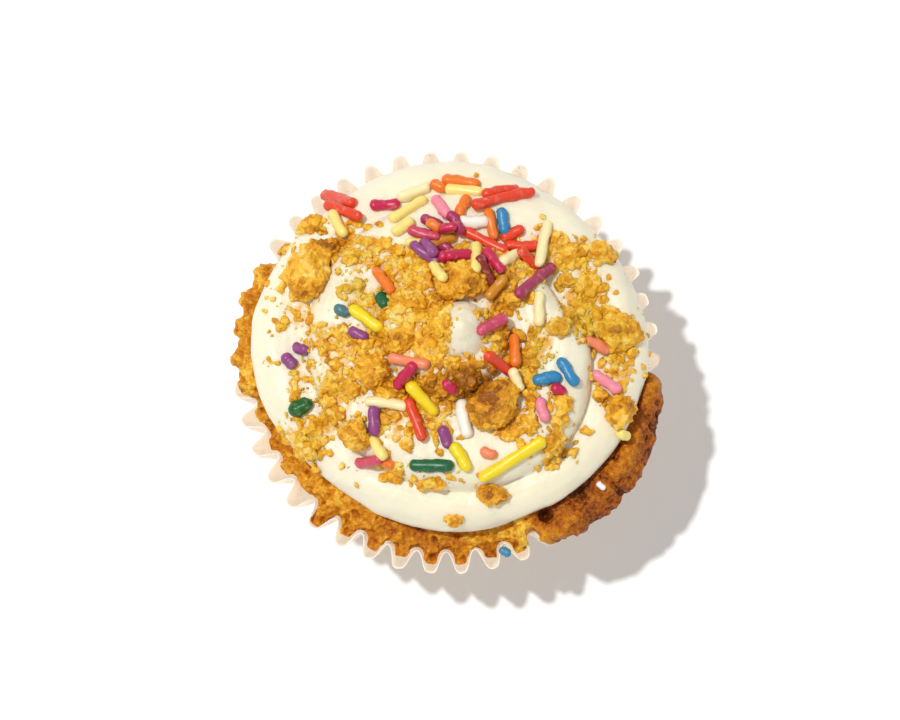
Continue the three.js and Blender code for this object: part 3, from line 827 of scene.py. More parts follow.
def cream_rings():
    angle = np.arange(AROUND) / AROUND * 2 * np.pi
    outline = cream_radius(angle)
    rings = []

    def place(radius, tilt=0.0):
        def height(x, y):
            low = np.maximum(crust_height(x, y), np.where(np.hypot(x, y) > CRUST_WITHIN_FLUTES, RIM_TOP, 0))
            upper = cream_height(x, y)
            return upper + (low - upper) * tilt

        rings.append(ring(angle, radius, height, CREAM_CENTRE))

    def edge(degrees):
        return outline - CREAM_EDGE * (1 - math.cos(math.radians(degrees)))

    for share in (0.3, 0.7):
        rings.append(ring(angle, outline * share, lambda x, y: crust_height(x, y) - UNDERSIDE, CREAM_CENTRE))
    for degrees in SIDE_STEPS:
        place(edge(degrees), math.sin(math.radians(degrees)))
    for degrees in SHOULDER_STEPS:
        place(edge(degrees))
    for row in range(1, TOP_ROWS):
        place(edge(SHOULDER_STEPS[-1]) * (1 - row / TOP_ROWS))
    return rings


def wrinkle_cream(mesh):
    """Long wrinkles along the rope, broad swells and small dents, on all but the flat underside."""
    round_tip, across = WRINKLES
    for vertex, normal in zip(mesh.vertices, map(Vector, points_of(mesh, "normal"))):
        p = vertex.co / MM
        away = Vector((p.x - TIP_CENTRE[0], p.y - TIP_CENTRE[1]))
        turn = math.atan2(away.y, away.x)
        along = noise.noise(Vector((round_tip * math.cos(turn), round_tip * math.sin(turn), away.length / across)))
        broad = noise.noise(Vector([at / width for at, width in zip(p, SWELLS)]))
        if normal.z > -0.2:
            vertex.co += normal * (ALONG * along + BROAD * broad + waves(p, DENTS)) * MM


cream_middle = float(cream_height(*CREAM_CENTRE))
cream_mesh = skin(cream_rings(), (*CREAM_CENTRE, CRUST_MIDDLE - UNDERSIDE), (*CREAM_CENTRE, cream_middle))
wrinkle_cream(cream_mesh)

# %% [markdown]
# ### Buttercream
#
# Buttercream is fat and sugar whipped with air. It is ivory, satin rather than glossy, and light goes a few
# millimetres into it. Tiny pits are burst bubbles. Where crumble lies, golden dust of it colours the cream.

# %% Buttercream
buttercream, tree, shader, place = new_material(
    "whipped buttercream",
    {
        "Roughness": 0.4,
        "Specular IOR Level": 0.4,
        "Subsurface Weight": 0.5,
        "Subsurface Scale": 1.6 * MM,
        "Subsurface Radius": (1.0, 0.75, 0.4),
    },
)
butter = add(tree, "ShaderNodeTexNoise", {"Vector": place, "Scale": 90.0, "Detail": 3.0})  # 11 mm clouds
butter = {0: butter, 6: linear("#f5ebcb"), 7: linear("#f6eed6")}
butter = add(tree, "ShaderNodeMix", butter, output=2, data_type="RGBA")
dusted = add(tree, "ShaderNodeAttribute", attribute_name="crumble", output="Fac")
dust = add(tree, "ShaderNodeTexNoise", {"Vector": place, "Scale": 800.0, "Detail": 3.0})
dust = add(tree, "ShaderNodeMapRange", [dust, 0.3, 0.6, 0.2, 1.0])
dust = add(tree, "ShaderNodeMath", [dust, dusted], operation="MULTIPLY")
dust = add(tree, "ShaderNodeMapRange", [dust, 0.2, 0.55, 0.0, 1.0])
dusty = add(tree, "ShaderNodeMix", {0: dust, 6: butter, 7: linear("#eeb347")}, output=2, data_type="RGBA")
ripples = add(tree, "ShaderNodeTexNoise", {"Vector": place, "Scale": 700.0, "Detail": 4.0})  # 1.4 mm
ripples = add(tree, "ShaderNodeBump", {"Height": ripples, "Strength": 0.55, "Distance": 0.2 * MM})
pits = add(tree, "ShaderNodeTexVoronoi", {"Vector": place, "Scale": 620.0})
pits = add(tree, "ShaderNodeMapRange", [pits, 0.05, 0.2, 0.0, 1.0])
pits = add(tree, "ShaderNodeBump", {"Height": pits, "Normal": ripples, "Strength": 0.4, "Distance": 0.14 * MM})
connect(shader, {"Base Color": dusty, "Normal": pits})

# %% [markdown]
# ## Where the crumble lies
#
# The crumble lies in drifts. Each drift is an oval in the picture, given by its middle, its half sizes and how densely
# it covers the cream. The line of sight through the picture carries it to the cream below, and every point of the cream
# stores how much crumble it wants.

# %% Drifts of crumble
DRIFTS = [  # middle x and y, half width and height in pixels, cover
    (364, 252, 28, 16, 0.9), (352, 284, 20, 14, 0.4), (410, 280, 22, 22, 0.8), (299, 315, 15, 17, 0.5),
    (277, 312, 12, 34, 0.1), (271, 361, 8, 6, 0.3), (326, 342, 17, 19, 0.8), (374, 306, 32, 16, 0.6),
    (420, 314, 28, 19, 0.95), (374, 345, 36, 17, 0.9), (544, 245, 17, 19, 0.7), (574, 254, 22, 15, 0.9),
    (582, 310, 21, 23, 0.9), (540, 340, 14, 22, 0.75), (506, 286, 18, 26, 1.0), (494, 322, 15, 17, 0.7),
    (298, 380, 12, 18, 0.4), (339, 388, 23, 23, 1.0), (332, 421, 13, 11, 0.8), (306, 439, 22, 20, 0.7),
    (424, 400, 32, 34, 0.9), (618, 368, 22, 18, 0.6), (523, 372, 15, 20, 0.85), (466, 376, 22, 20, 1.0),
    (556, 404, 16, 16, 0.35), (548, 448, 24, 14, 0.45), (508, 424, 22, 18, 0.55), (440, 480, 28, 8, 0.3),
    (356, 470, 18, 12, 0.08), (398, 470, 18, 12, 0.25), (614, 396, 14, 14, 0.3), (592, 282, 20, 16, 0.4),
    (606, 330, 26, 15, 0.75), (330, 230, 24, 12, 0.25), (300, 270, 18, 26, 0.4), (412, 258, 22, 16, 0.5),
    (470, 262, 34, 22, 0.8), (530, 280, 16, 18, 0.3), (505, 350, 22, 20, 0.5),
    (385, 420, 16, 24, 0.5), (270, 400, 8, 12, 0.1), (440, 334, 12, 26, 0.95), (428, 350, 16, 14, 0.9),
]
CLEAN_EDGE = 2  # mm above the paper's rim, below which no crumble clings to the cream
BROWNER_AND_SHADED = [  # where the crumble is darker, partly darker-baked crumble and partly painted shade in hollows and beside the tip: an oval, and how much
    (470, 378, 28, 20, 0.9), (502, 292, 16, 34, 0.6), (516, 345, 14, 24, 0.5), (438, 386, 24, 14, 0.5),
    (395, 386, 32, 16, 0.35), (492, 404, 30, 26, 0.75), (357, 432, 20, 18, 0.35), (455, 285, 28, 17, 0.75),
    (326, 242, 16, 12, 0.5), (310, 288, 24, 10, 0.4), (400, 345, 30, 20, 0.3), (396, 212, 16, 10, 0.6),
    (618, 402, 22, 20, 0.4), (494, 492, 20, 16, 0.4), (552, 440, 18, 14, 0.3),
]
GREENER = [  # where it is darker and greener: an oval, and how much
    (352, 284, 20, 14, 1.0), (574, 300, 30, 50, 0.6), (538, 345, 18, 26, 0.6), (612, 336, 30, 26, 0.55),
    (306, 446, 20, 20, 0.5), (350, 262, 24, 18, 0.3), (556, 440, 26, 26, 0.35), (338, 385, 18, 14, 0.3),
]


def within(ovals, points):
    """How much of each oval of the picture every point gets, summed and at most 1."""
    px, py = pixels_of(points)
    total = np.zeros_like(px)
    for x, y, half_x, half_y, share in ovals:
        total += share * np.exp(-(np.abs((px - x) / half_x) ** 3 + np.abs((py - y) / half_y) ** 3))
    return np.minimum(1.0, total)


spots = points_of(cream_mesh)
wanted = within(DRIFTS, spots)
wanted[spots[:, 2] < (RIM_TOP + CLEAN_EDGE) * MM] = 0
store(cream_mesh, "crumble", wanted)
cream = piece_from(cream_mesh, "buttercream_swirl", buttercream, "buttercream", "buttercream")
print("share of the cream under crumble:", round(float(wanted.mean()), 2))

# %% [markdown]
# ## Crumble
#
# Crumble is flour, butter and brown sugar rubbed into small beads, which bake together into clumps. The nine big
# clumps are copies of the CAD solids, rounded by a voxel remesh. One Geometry Nodes tree then scatters beads of
# uneven size over a surface and pushes them out of round with noise. A second remesh bakes beads and lump together,
# and a little smoothing leaves soft joints.

# %% Tree that covers a surface with beads
SHAPE_SEED = 31
TINT_SEED = 77
bead_tree, term = geometry_tree("crumble beads", {
    "Spacing": 0.75 * MM,
    "Smallest": 0.36 * MM,
    "Largest": 0.72 * MM,
    "Faces": 2,
    "Out of Round": 1.15 * MM,
    "Darkest": -0.18,
    "Lightest": 0.22,
    "Keep Core": True,
    "Gathering": 1.0,
    "Seed": 5,
    "Crumble": None,
})
stored = add(bead_tree, "GeometryNodeInputNamedAttribute", {"Name": "crumble"}, data_type="FLOAT").node.outputs
everywhere = add(bead_tree, "ShaderNodeMath", [1.0, stored["Exists"]], operation="SUBTRACT")
wish = add(bead_tree, "ShaderNodeMath", [stored["Attribute"], everywhere], operation="MAXIMUM")
wish = add(bead_tree, "ShaderNodeMath", [wish, term["Gathering"]], operation="POWER")
points = add(
    bead_tree,
    "GeometryNodeDistributePointsOnFaces",
    {
        "Mesh": term["Geometry"],
        "Distance Min": term["Spacing"],
        "Density Max": 8.0e6,
        "Density Factor": wish,
        "Seed": term["Seed"],
    },
    distribute_method="POISSON",
)
ball = add(bead_tree, "GeometryNodeMeshIcoSphere", {"Radius": 1.0, "Subdivisions": term["Faces"]})
turns = {0: (0.0, 0.0, 0.0), 1: (math.tau, math.tau, math.tau), "Seed": term["Seed"]}
turns = add(bead_tree, "FunctionNodeRandomValue", turns, data_type="FLOAT_VECTOR")
sizes = add(bead_tree, "FunctionNodeRandomValue", {"Seed": term["Seed"]}, data_type="FLOAT", output=1)
sizes = add(bead_tree, "ShaderNodeMath", [sizes, 2.0], operation="POWER")
sizes = add(bead_tree, "ShaderNodeMapRange", [sizes, 0.0, 1.0, term["Smallest"], term["Largest"]])
shapes = {0: (0.7, 0.7, 0.65), 1: (1.3, 1.3, 1.1), "Seed": SHAPE_SEED}
shapes = add(bead_tree, "FunctionNodeRandomValue", shapes, data_type="FLOAT_VECTOR")
sizes = add(bead_tree, "ShaderNodeVectorMath", {0: shapes, "Scale": sizes}, operation="SCALE")
beads = {"Points": points, "Instance": ball, "Rotation": turns, "Scale": sizes}
beads = add(bead_tree, "GeometryNodeInstanceOnPoints", beads)
tints = {2: term["Darkest"], 3: term["Lightest"], "Seed": TINT_SEED}
tints = add(bead_tree, "FunctionNodeRandomValue", tints, data_type="FLOAT", output=1)
tints = {"Geometry": beads, "Name": "tint", "Value": tints}
beads = add(bead_tree, "GeometryNodeStoreNamedAttribute", tints, data_type="FLOAT", domain="INSTANCE")
beads = add(bead_tree, "GeometryNodeRealizeInstances", [beads])
rough = {"Vector": add(bead_tree, "GeometryNodeInputPosition"), "Scale": 1300.0, "Detail": 1.0}  # lumps of 0.8 mm
rough = add(bead_tree, "ShaderNodeTexNoise", rough, noise_dimensions="3D", output="Color")
rough = add(bead_tree, "ShaderNodeVectorMath", [rough, (0.5, 0.5, 0.5)], operation="SUBTRACT")
rough = add(bead_tree, "ShaderNodeVectorMath", {0: rough, "Scale": term["Out of Round"]}, operation="SCALE")
beads = add(bead_tree, "GeometryNodeSetPosition", {"Geometry": beads, "Offset": rough})
core = {"Switch": term["Keep Core"], "True": term["Geometry"]}
core = add(bead_tree, "GeometryNodeSwitch", core, input_type="GEOMETRY")
both = add(bead_tree, "GeometryNodeJoinGeometry", [beads])
bead_tree.links.new(core, both.node.inputs[0])
close_tree(bead_tree, both, term["Crumble"])

# %% [markdown]
# ### Baked crumble
#
# Crumble is translucent butter and sugar, golden where light gets through and brown where it has caught. The colour
# ramp is read by noise, by cells of about a millimetre that give each bead a tone of its own, and by the attribute
# that says where the crumble is darker, partly darker-baked and partly painted shade in hollows and beside the tip.
# Another attribute says where it is darker and greener. The fine grains carry a tint each as well.

# %% Baked crumble
crumble, tree, shader, place = new_material(
    "baked butter crumble",
    {
        "Roughness": 0.34,
        "Specular IOR Level": 0.28,
        "Subsurface Weight": 0.5,
        "Subsurface Scale": 0.9 * MM,
        "Subsurface Radius": (1.0, 0.7, 0.25),
    },
)
tint = add(tree, "ShaderNodeAttribute", attribute_name="tint", output="Fac")
mottle = add(tree, "ShaderNodeTexNoise", {"Vector": place, "Scale": 300.0, "Detail": 4.0, "Roughness": 0.6})
mottle = add(tree, "ShaderNodeMapRange", [mottle, 0.3, 0.7, 0.3, 0.72])
cells = add(tree, "ShaderNodeTexVoronoi", {"Vector": place, "Scale": 850.0}, output="Color")  # 1.2 mm
cells = add(tree, "ShaderNodeMapRange", [add(tree, "ShaderNodeSeparateColor", [cells]), 0.0, 1.0, -0.2, 0.24])
shade = add(tree, "ShaderNodeMath", [add(tree, "ShaderNodeMath", [tint, mottle]), cells])
browner_and_shaded = add(tree, "ShaderNodeAttribute", attribute_name="browner_and_shaded", output="Fac")
# painted shade: the crumble is made darker in hollows and beside the tip, together with where it is baked darker
shade = add(tree, "ShaderNodeMath", [browner_and_shaded, -0.5, shade], operation="MULTIPLY_ADD")
colours = add(tree, "ShaderNodeValToRGB", [shade])
paint_ramp(colours.node.color_ramp, [(0.0, "#9e5c0a"), (0.3, "#de981a"), (0.6, "#fbc339"), (1.0, "#ffe696")])
greener = add(tree, "ShaderNodeAttribute", attribute_name="greener", output="Fac")
greener = add(tree, "ShaderNodeMath", [greener, 0.5], operation="MULTIPLY")
baked = {0: greener, 6: colours, 7: linear("#c8dc8c")}
baked = add(tree, "ShaderNodeMix", baked, output=2, data_type="RGBA", blend_type="MULTIPLY")
grit = add(tree, "ShaderNodeTexNoise", {"Vector": place, "Scale": 2400.0, "Detail": 3.0})  # 0.4 mm sugar
grit = add(tree, "ShaderNodeBump", {"Height": grit, "Strength": 0.7, "Distance": 0.16 * MM})
grains = add(tree, "ShaderNodeTexVoronoi", {"Vector": place, "Scale": 1500.0})  # 0.7 mm grains
grains = add(tree, "ShaderNodeMapRange", [grains, 0.0, 0.7, 1.0, 0.0])
grains = add(tree, "ShaderNodeBump", {"Height": grains, "Normal": grit, "Strength": 0.8, "Distance": 0.25 * MM})
connect(shader, {"Base Color": baked, "Normal": grains})

# %% Big clumps
ROUND_OFF = [
    ("WELD", {}),
    ("REMESH", {"mode": "VOXEL", "voxel_size": 0.3 * MM}),
    ("SMOOTH", {"factor": 0.6, "iterations": 4}),
]
BAKE_TOGETHER = [
    ("REMESH", {"mode": "VOXEL", "voxel_size": 0.2 * MM}),
    ("SMOOTH", {"factor": 0.5, "iterations": 2}),
]
FINER_CLUMPS = {"clump_middle", "clump_front_left"}
FINE_BEADS = {"Spacing": 0.7 * MM, "Smallest": 0.3 * MM, "Largest": 0.5 * MM, "Out of Round": 0.8 * MM}


def crumble_piece(mesh, name, *nodes):
    for attribute, ovals in (("browner_and_shaded", BROWNER_AND_SHADED), ("greener", GREENER)):
        store(mesh, attribute, within(ovals, points_of(mesh)))
    return piece_from(mesh, name, crumble, "crumb", *nodes)


for node in sorted(name for name in frame["nodes"] if name.startswith("clump")):
    values = {"Crumble": crumble} | (FINE_BEADS if node in FINER_CLUMPS else {})
    mesh = grown(frame["nodes"][node].data.copy(), bead_tree, values, before=ROUND_OFF, after=BAKE_TOGETHER)
    crumble_piece(mesh, node.replace("clump", "crumble_clump"), node)

# %% [markdown]
# ### Smaller lumps
#
# The smaller lumps are read off the picture: where the middle of each is and how large it looks. A ray through
# that pixel finds the cream, and the lump is pressed in there a little, turned to the slope.


# %% Where a line of sight meets the cake
def surface_of(*pieces):
    points, faces = [], []
    for piece in pieces:
        start = len(points)
        points += [vertex.co.copy() for vertex in piece.data.vertices]
        faces += [[start + v for v in face.vertices] for face in piece.data.polygons]
    return BVHTree.FromPolygons(points, faces)


cream_surface = surface_of(cream)


def on_surface(surface, px, py):
    """Place and normal at which the line of sight through a pixel meets a surface."""
    place, normal, _, _ = surface.ray_cast(camera.location, pixel_ray(px, py))
    return place, normal


# %% Smaller lumps
LUMPS = [  # middle x and y, width and height in pixels, thickness as a share of the smaller
    (320, 252, 35, 24, 0.7), (358, 224, 11, 10, 0.7), (381, 224, 13, 12, 0.7), (387, 210, 13, 8, 0.7),
    (399, 251, 17, 12, 0.7), (366, 347, 19, 14, 0.7), (399, 341, 22, 21, 0.7), (478, 175, 8, 12, 0.6),
    (565, 281, 21, 18, 0.6), (591, 285, 20, 28, 0.4), (619, 334, 40, 34, 0.55), (612, 311, 15, 12, 0.7),
    (557, 328, 21, 23, 0.6), (390, 390, 34, 18, 0.8), (309, 450, 25, 19, 0.6), (409, 444, 15, 18, 0.7),
    (395, 477, 17, 15, 0.6), (432, 483, 36, 16, 0.55), (453, 518, 22, 13, 0.9), (532, 399, 15, 22, 0.8),
    (529, 425, 17, 16, 0.7), (510, 433, 19, 15, 0.7), (565, 403, 18, 18, 0.6), (559, 422, 18, 15, 0.6),
    (551, 443, 25, 22, 0.6), (552, 464, 20, 14, 0.6), (570, 453, 19, 13, 0.6), (586, 432, 15, 14, 0.6),
    (601, 396, 16, 13, 0.7), (624, 434, 14, 14, 0.6), (613, 360, 18, 12, 0.6), (356, 485, 12, 10, 0.9),
    (316, 468, 11, 10, 0.9), (345, 466, 10, 9, 0.9), (344, 330, 14, 12, 0.7), (420, 304, 20, 16, 0.7),
    (398, 308, 16, 15, 0.7), (352, 388, 18, 16, 0.7), (330, 400, 16, 14, 0.7), (436, 330, 16, 12, 0.7),
    (514, 384, 14, 16, 0.8), (512, 300, 18, 16, 0.8), (380, 262, 14, 10, 0.7), (350, 262, 16, 12, 0.7),
    (300, 296, 12, 10, 0.6), (432, 380, 18, 14, 0.7), (470, 384, 16, 12, 0.6), (450, 402, 16, 12, 0.6),
    (580, 262, 18, 12, 0.5), (646, 318, 8, 14, 0.6), (648, 338, 7, 12, 0.6), (300, 436, 16, 14, 0.6),
]
LUMP_SINK = 0.35  # share of a lump's half thickness that is pressed in
LUMP_GROWTH = 1.18  # makes up for what rounding takes off
LUMP_UNEVEN = [(0.8, 2.2)]  # height as a share of its half thickness, and width in mm


def lump_mesh(surface):
    work = bmesh.new()
    for px, py, wide, tall, thick in LUMPS:
        place, normal = on_surface(surface, px, py)
        if place is None:
            continue
        scale = (place - camera.location).length / distance * MM_PER_PIXEL * MM / 2 * LUMP_GROWTH
        half = Vector((wide, tall, thick * min(wide, tall))) * scale
        place += normal * half.z * (1 - 2 * LUMP_SINK)
        tilt = Vector((0, 0, 1)).rotation_difference(normal).to_matrix().to_4x4()
        shape = Matrix.Translation(place) @ tilt @ Matrix.Diagonal((*half, 1))
        made = bmesh.ops.create_icosphere(work, subdivisions=3, radius=1.0, matrix=shape)["verts"]
        for vertex in made:
            out = (vertex.co - place).normalized()
            vertex.co += out * waves(vertex.co / MM, LUMP_UNEVEN) * half.z
    mesh = bpy.data.meshes.new("lumps")
    work.to_mesh(mesh)
    work.free()
    return mesh


LUMP_BEADS = {"Crumble": crumble, "Spacing": 0.8 * MM}
lumps_mesh = lump_mesh(cream_surface)
lumps_mesh = grown(lumps_mesh, bead_tree, LUMP_BEADS, before=ROUND_OFF, after=BAKE_TOGETHER)
lumps = crumble_piece(lumps_mesh, "crumble_lumps")

# %% [markdown]
# ### Loose crumbs
#
# The same tree fills the drifts with loose beads, without a core: it reads the stored attribute, so that the beads come
# only where crumble lies. It runs three times: for beads side by side and for larger ones on top of them, which are
# baked together where they touch and then thinned to a share of their faces, and for fine grains that stay single.

# %% Loose crumbs
LOOSE = {  # spacing, smallest and largest radius in mm, faces, gathering, share of the baked faces that is kept
    "crumble_crumbs": (0.76, 0.4, 0.85, 2, 0.9, 0.41),
    "crumble_nuggets": (1.7, 0.65, 1.2, 2, 1.6, 0.7),
    "crumble_grains": (0.66, 0.16, 0.36, 1, 1.0, 0),
}
loose = {}
for number, (name, (spacing, smallest, largest, faces, gathering, kept)) in enumerate(LOOSE.items()):
    after = [*BAKE_TOGETHER, ("DECIMATE", {"ratio": kept})] if kept else ()
    values = {
        "Crumble": crumble,
        "Darkest": -0.05,
        "Lightest": 0.3,
        "Spacing": spacing * MM,
        "Smallest": smallest * MM,
        "Largest": largest * MM,
        "Faces": faces,
        "Keep Core": False,
        "Gathering": gathering,
        "Seed": 5 + number,
    }
    loose[name] = crumble_piece(grown(cream.data.copy(), bead_tree, values, after=after), name)

# %% [markdown]
# ## Sugar strands
#
# Sugar strands are little rods of coloured sugar paste, about 1.6 mm thick, with rounded ends. Each one is read off the
# picture by its two ends. A rod lies on whatever is under it: rays find the surface at several places along it, and the
# rod rests on the two highest that have its middle between them.

# %% Strands read off the picture
SUGAR = {
    "red": "#e54422", "crimson": "#c81e4c", "brown red": "#8c2418", "orange": "#ee7a1a", "coral": "#f28a5e",
    "mustard": "#d08a0c", "yellow": "#f7d912", "soft yellow": "#f8e07e", "pale": "#fae8ae", "white": "#f6f1e2",
    "chalk": "#f3f0f0", "pink": "#f28c9e", "rose": "#cf4560", "magenta": "#a92d5a", "purple": "#93457f",
    "blue": "#2f86b6", "sky": "#3f88ac", "blue grey": "#4f7a80", "green": "#0f6238", "deep green": "#045c14",
}
STRANDS = [  # colour, one end x and y, the other end x and y in pixels
    ("red", 325, 195, 352, 203), ("red", 327, 205, 359, 216), ("soft yellow", 332, 213, 343, 234),
    ("crimson", 373, 205, 397, 204), ("pale", 400, 198, 427, 187), ("soft yellow", 392, 219, 424, 200),
    ("soft yellow", 395, 232, 411, 221), ("pink", 435, 199, 448, 216), ("orange", 445, 179, 477, 184),
    ("soft yellow", 448, 189, 481, 192), ("red", 485, 194, 516, 189), ("red", 475, 205, 532, 192),
    ("orange", 459, 214, 467, 198), ("white", 462, 222, 485, 222), ("orange", 488, 211, 494, 237),
    ("blue", 502, 211, 505, 232), ("red", 504, 238, 521, 229), ("red", 462, 229, 505, 251),
    ("red", 507, 245, 536, 246), ("pale", 502, 262, 518, 253), ("red", 521, 251, 539, 272),
    ("pale", 539, 264, 548, 224), ("magenta", 519, 294, 552, 267), ("soft yellow", 476, 245, 476, 270),
    ("magenta", 424, 218, 440, 226), ("orange", 433, 225, 435, 226), ("magenta", 451, 214, 461, 232),
    ("rose", 411, 230, 437, 237), ("crimson", 442, 229, 454, 226), ("soft yellow", 408, 242, 424, 246),
    ("mustard", 432, 242, 453, 237), ("purple", 413, 245, 437, 261), ("purple", 424, 242, 434, 253),
    ("magenta", 445, 247, 447, 249), ("crimson", 443, 257, 445, 259), ("crimson", 448, 256, 470, 254),
    ("crimson", 486, 251, 501, 270), ("brown red", 480, 258, 491, 283), ("soft yellow", 433, 265, 443, 278),
    ("mustard", 489, 297, 504, 278), ("orange", 376, 270, 391, 291), ("green", 381, 298, 385, 303),
    ("blue grey", 341, 310, 343, 311), ("yellow", 352, 309, 379, 328), ("purple", 352, 331, 365, 337),
    ("purple", 296, 347, 305, 350), ("purple", 287, 359, 291, 363), ("deep green", 298, 408, 303, 406),
    ("pale", 539, 294, 539, 323), ("rose", 480, 331, 504, 318), ("orange", 514, 337, 515, 364),
    ("coral", 588, 340, 607, 350), ("pink", 595, 374, 618, 390), ("blue", 536, 380, 558, 377),
    ("blue", 561, 361, 575, 383), ("pink", 540, 400, 545, 419), ("red", 488, 355, 510, 372),
    ("pale", 513, 371, 520, 388), ("coral", 391, 358, 426, 364), ("crimson", 397, 385, 413, 366),
    ("yellow", 410, 385, 434, 412), ("crimson", 448, 386, 450, 388), ("pale", 368, 401, 405, 406),
    ("red", 408, 401, 422, 438), ("purple", 373, 409, 375, 433), ("white", 461, 403, 467, 434),
    ("purple", 443, 429, 448, 445), ("yellow", 454, 446, 467, 468), ("soft yellow", 373, 439, 383, 457),
    ("rose", 359, 463, 379, 460), ("orange", 386, 462, 389, 464), ("green", 413, 465, 450, 465),
    ("yellow", 483, 478, 542, 441), ("coral", 486, 452, 491, 454), ("soft yellow", 620, 433, 626, 436),
    ("sky", 503, 551, 507, 553), ("orange", 436, 185, 440, 187), ("crimson", 556, 388, 562, 391),
    ("chalk", 600, 485, 602, 487),
]
STRAND_RADIUS = 0.9 * MM
STOUT = {  # colours whose strands are thinner or stouter than that
    "chalk": 0.6, "sky": 0.74, "purple": 1.05, "blue": 1.1, "yellow": 1.12, "green": 1.15, "white": 1.2,
    "deep green": 1.45,
}
print("strands:", len(STRANDS), "in", len(SUGAR), "colours")

# %% Rods
SIDES = 12
END_STEPS = (90, 62, 38, 18, 0)
MIDDLE_STEPS = 6
REST_SAMPLES = 7
PRESSED = 0.35  # share of a rod's radius that is pressed in
SHORTER = 0.35  # share of its radius by which each end is drawn in
BENDS = (0.25, 0.15)  # sideways and up, as shares of its length
ROD_DENTS = [(0.3, 1.3), (0.16, 0.5)]  # heights as shares of its radius, and widths in mm


def rest_line(heights):
    """Heights of both ends of a rod that rests on points at even steps along it, with its middle held up."""
    last = len(heights) - 1
    middle = last / 2
    best = None
    for i in range(last + 1):
        for j in range(i + 1, last + 1):
            if not i <= middle <= j:
                continue
            slope = (heights[j] - heights[i]) / (j - i)
            over = [heights[i] + slope * (k - i) - heights[k] for k in range(last + 1)]
            lift = max(0.0, -min(over))
            level = heights[i] + slope * (middle - i) + lift
            if best is None or level < best[0]:
                best = (level, heights[i] - slope * i + lift, heights[i] + slope * (last - i) + lift)
    return best[1:]


def lay_rod(surfaces, ends, radius):
    """Both ends of a rod's axis in space, on the highest of the surfaces under it."""
    steps = [k / (REST_SAMPLES - 1) for k in range(REST_SAMPLES)]
    (x0, y0), (x1, y1) = ends
    heights = []
    for share in steps:
        px, py = x0 + (x1 - x0) * share, y0 + (y1 - y0) * share
        hits = [on_surface(surface, px, py)[0] for surface in surfaces]
        heights.append(max((hit.z for hit in hits if hit), default=RIM_TOP * MM))
    low, high = rest_line(heights)
    lift = radius * (1 - PRESSED)
    return pixel_at_height(x0, y0, low + lift), pixel_at_height(x1, y1, high + lift)


def rod_rings(start, end, radius, seed):
    """A slightly bent rod with round ends, as points ring by ring."""
    axis = (end - start).normalized()
    side = axis.orthogonal().normalized()
    up = axis.cross(side)
    start, end = start + axis * radius * SHORTER, end - axis * radius * SHORTER
    bend = side * noise.noise(Vector((seed, 1.3, 0.2))) * BENDS[0]
    bend += up * noise.noise(Vector((seed, 7.1, 2.2))) * BENDS[1]
    turns = [math.radians(step) for step in END_STEPS]
    rings = [(start - axis * radius * math.sin(turn), radius * math.cos(turn)) for turn in turns]
    rings += [(end + axis * radius * math.sin(turn), radius * math.cos(turn)) for turn in turns[::-1]]
    for step in range(1, MIDDLE_STEPS):
        share = step / MIDDLE_STEPS
        bow = bend * (end - start).length * 0.8 * share * (1 - share)
        rings.insert(len(END_STEPS) + step - 1, (start + (end - start) * share + bow, radius))
    points = []
    for centre, size in rings:
        for k in range(SIDES):
            turn = k / SIDES * math.tau
            out = side * math.cos(turn) + up * math.sin(turn)
            points.append(centre + out * size * (1 + waves((centre + out * size) / MM, ROD_DENTS)))
    return points, len(rings)


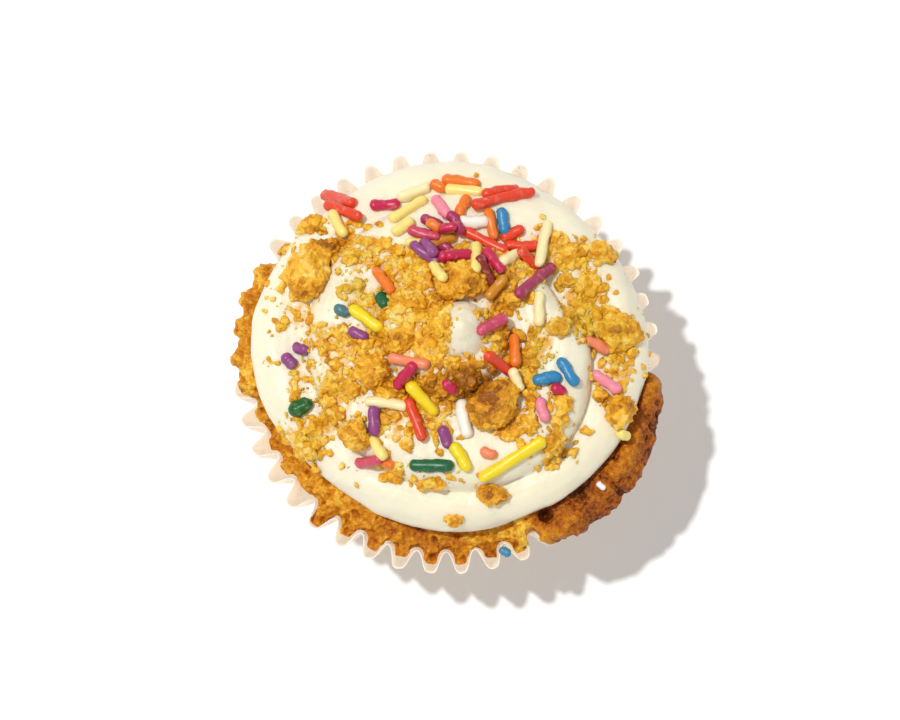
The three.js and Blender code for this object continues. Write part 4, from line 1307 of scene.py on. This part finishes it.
# %% Lay the strands
clumps = [piece for piece in bpy.data.objects if piece.name.startswith("crumble_clump")]
resting = surface_of(cream, lumps, loose["crumble_crumbs"], sponge, *clumps)
points, faces, colours = [], [], []
laid = None
for number, (colour, x0, y0, x1, y1) in enumerate(STRANDS):
    radius = STRAND_RADIUS * STOUT.get(colour, 1.0)
    start, end = lay_rod([resting, laid] if laid else [resting], ((x0, y0), (x1, y1)), radius)
    if (end - start).length < 2 * radius:
        middle, way = (start + end) / 2, (end - start).normalized()
        start, end = middle - way * radius, middle + way * radius
    ring_points, count = rod_rings(start, end, radius, number * 3.7)
    first = len(points)
    points += ring_points
    for ring in range(count - 1):
        a, b = first + ring * SIDES, first + (ring + 1) * SIDES
        faces += [(a + k, a + (k + 1) % SIDES, b + (k + 1) % SIDES, b + k) for k in range(SIDES)]
    colours += [linear(SUGAR[colour])] * len(ring_points)
    laid = BVHTree.FromPolygons(points, faces)
strand_mesh = bpy.data.meshes.new("strands")
strand_mesh.from_pydata(points, [], faces)
layer = strand_mesh.color_attributes.new("sugar", "FLOAT_COLOR", "POINT")
layer.data.foreach_set("color", np.array(colours).ravel())
closed = bmesh.new()
closed.from_mesh(strand_mesh)
bmesh.ops.remove_doubles(closed, verts=closed.verts, dist=0.004 * MM)  # the outermost ring of an end is a point
bmesh.ops.recalc_face_normals(closed, faces=closed.faces)
closed.to_mesh(strand_mesh)
closed.free()

# %% [markdown]
# ### Sugar paste
#
# Pressed sugar paste with a thin glaze: strong colour, a soft shine, and a surface that is a little uneven and lighter
# where the colour has worn.

# %% Sugar paste
sugar, tree, shader, place = new_material(
    "glazed sugar paste",
    {
        "Roughness": 0.36,
        "Subsurface Weight": 0.15,
        "Subsurface Scale": 0.6 * MM,
        "Subsurface Radius": (1.0, 0.6, 0.4),
    },
)
dye = add(tree, "ShaderNodeAttribute", attribute_name="sugar", output="Color")
worn = add(tree, "ShaderNodeTexNoise", {"Vector": place, "Scale": 900.0, "Detail": 3.0, "Roughness": 0.6})
worn = add(tree, "ShaderNodeMapRange", [worn, 0.55, 0.85, 0.0, 0.3])
mottled = add(tree, "ShaderNodeMix", {0: worn, 6: dye, 7: linear("#fff0e0")}, output=2, data_type="RGBA")
dents = add(tree, "ShaderNodeTexNoise", {"Vector": place, "Scale": 1500.0, "Detail": 2.0})  # 0.7 mm dents
dents = add(tree, "ShaderNodeBump", {"Height": dents, "Strength": 0.35, "Distance": 0.1 * MM})
connect(shader, {"Base Color": mottled, "Normal": dents})
piece_from(strand_mesh, "sugar_strands", sugar, "crumb")

# %% [markdown]
# ## Finish
#
# The box of the dressed cupcake is set beside that of the CAD model in one dictionary, and its size is printed.

# %% Finish
low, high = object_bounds()
sizes = {"cad": [list(cad_low), list(cad_high)], "visual": [list(low), list(high)]}
print("dressed size in mm:", [round(side / MM, 1) for side in high - low])
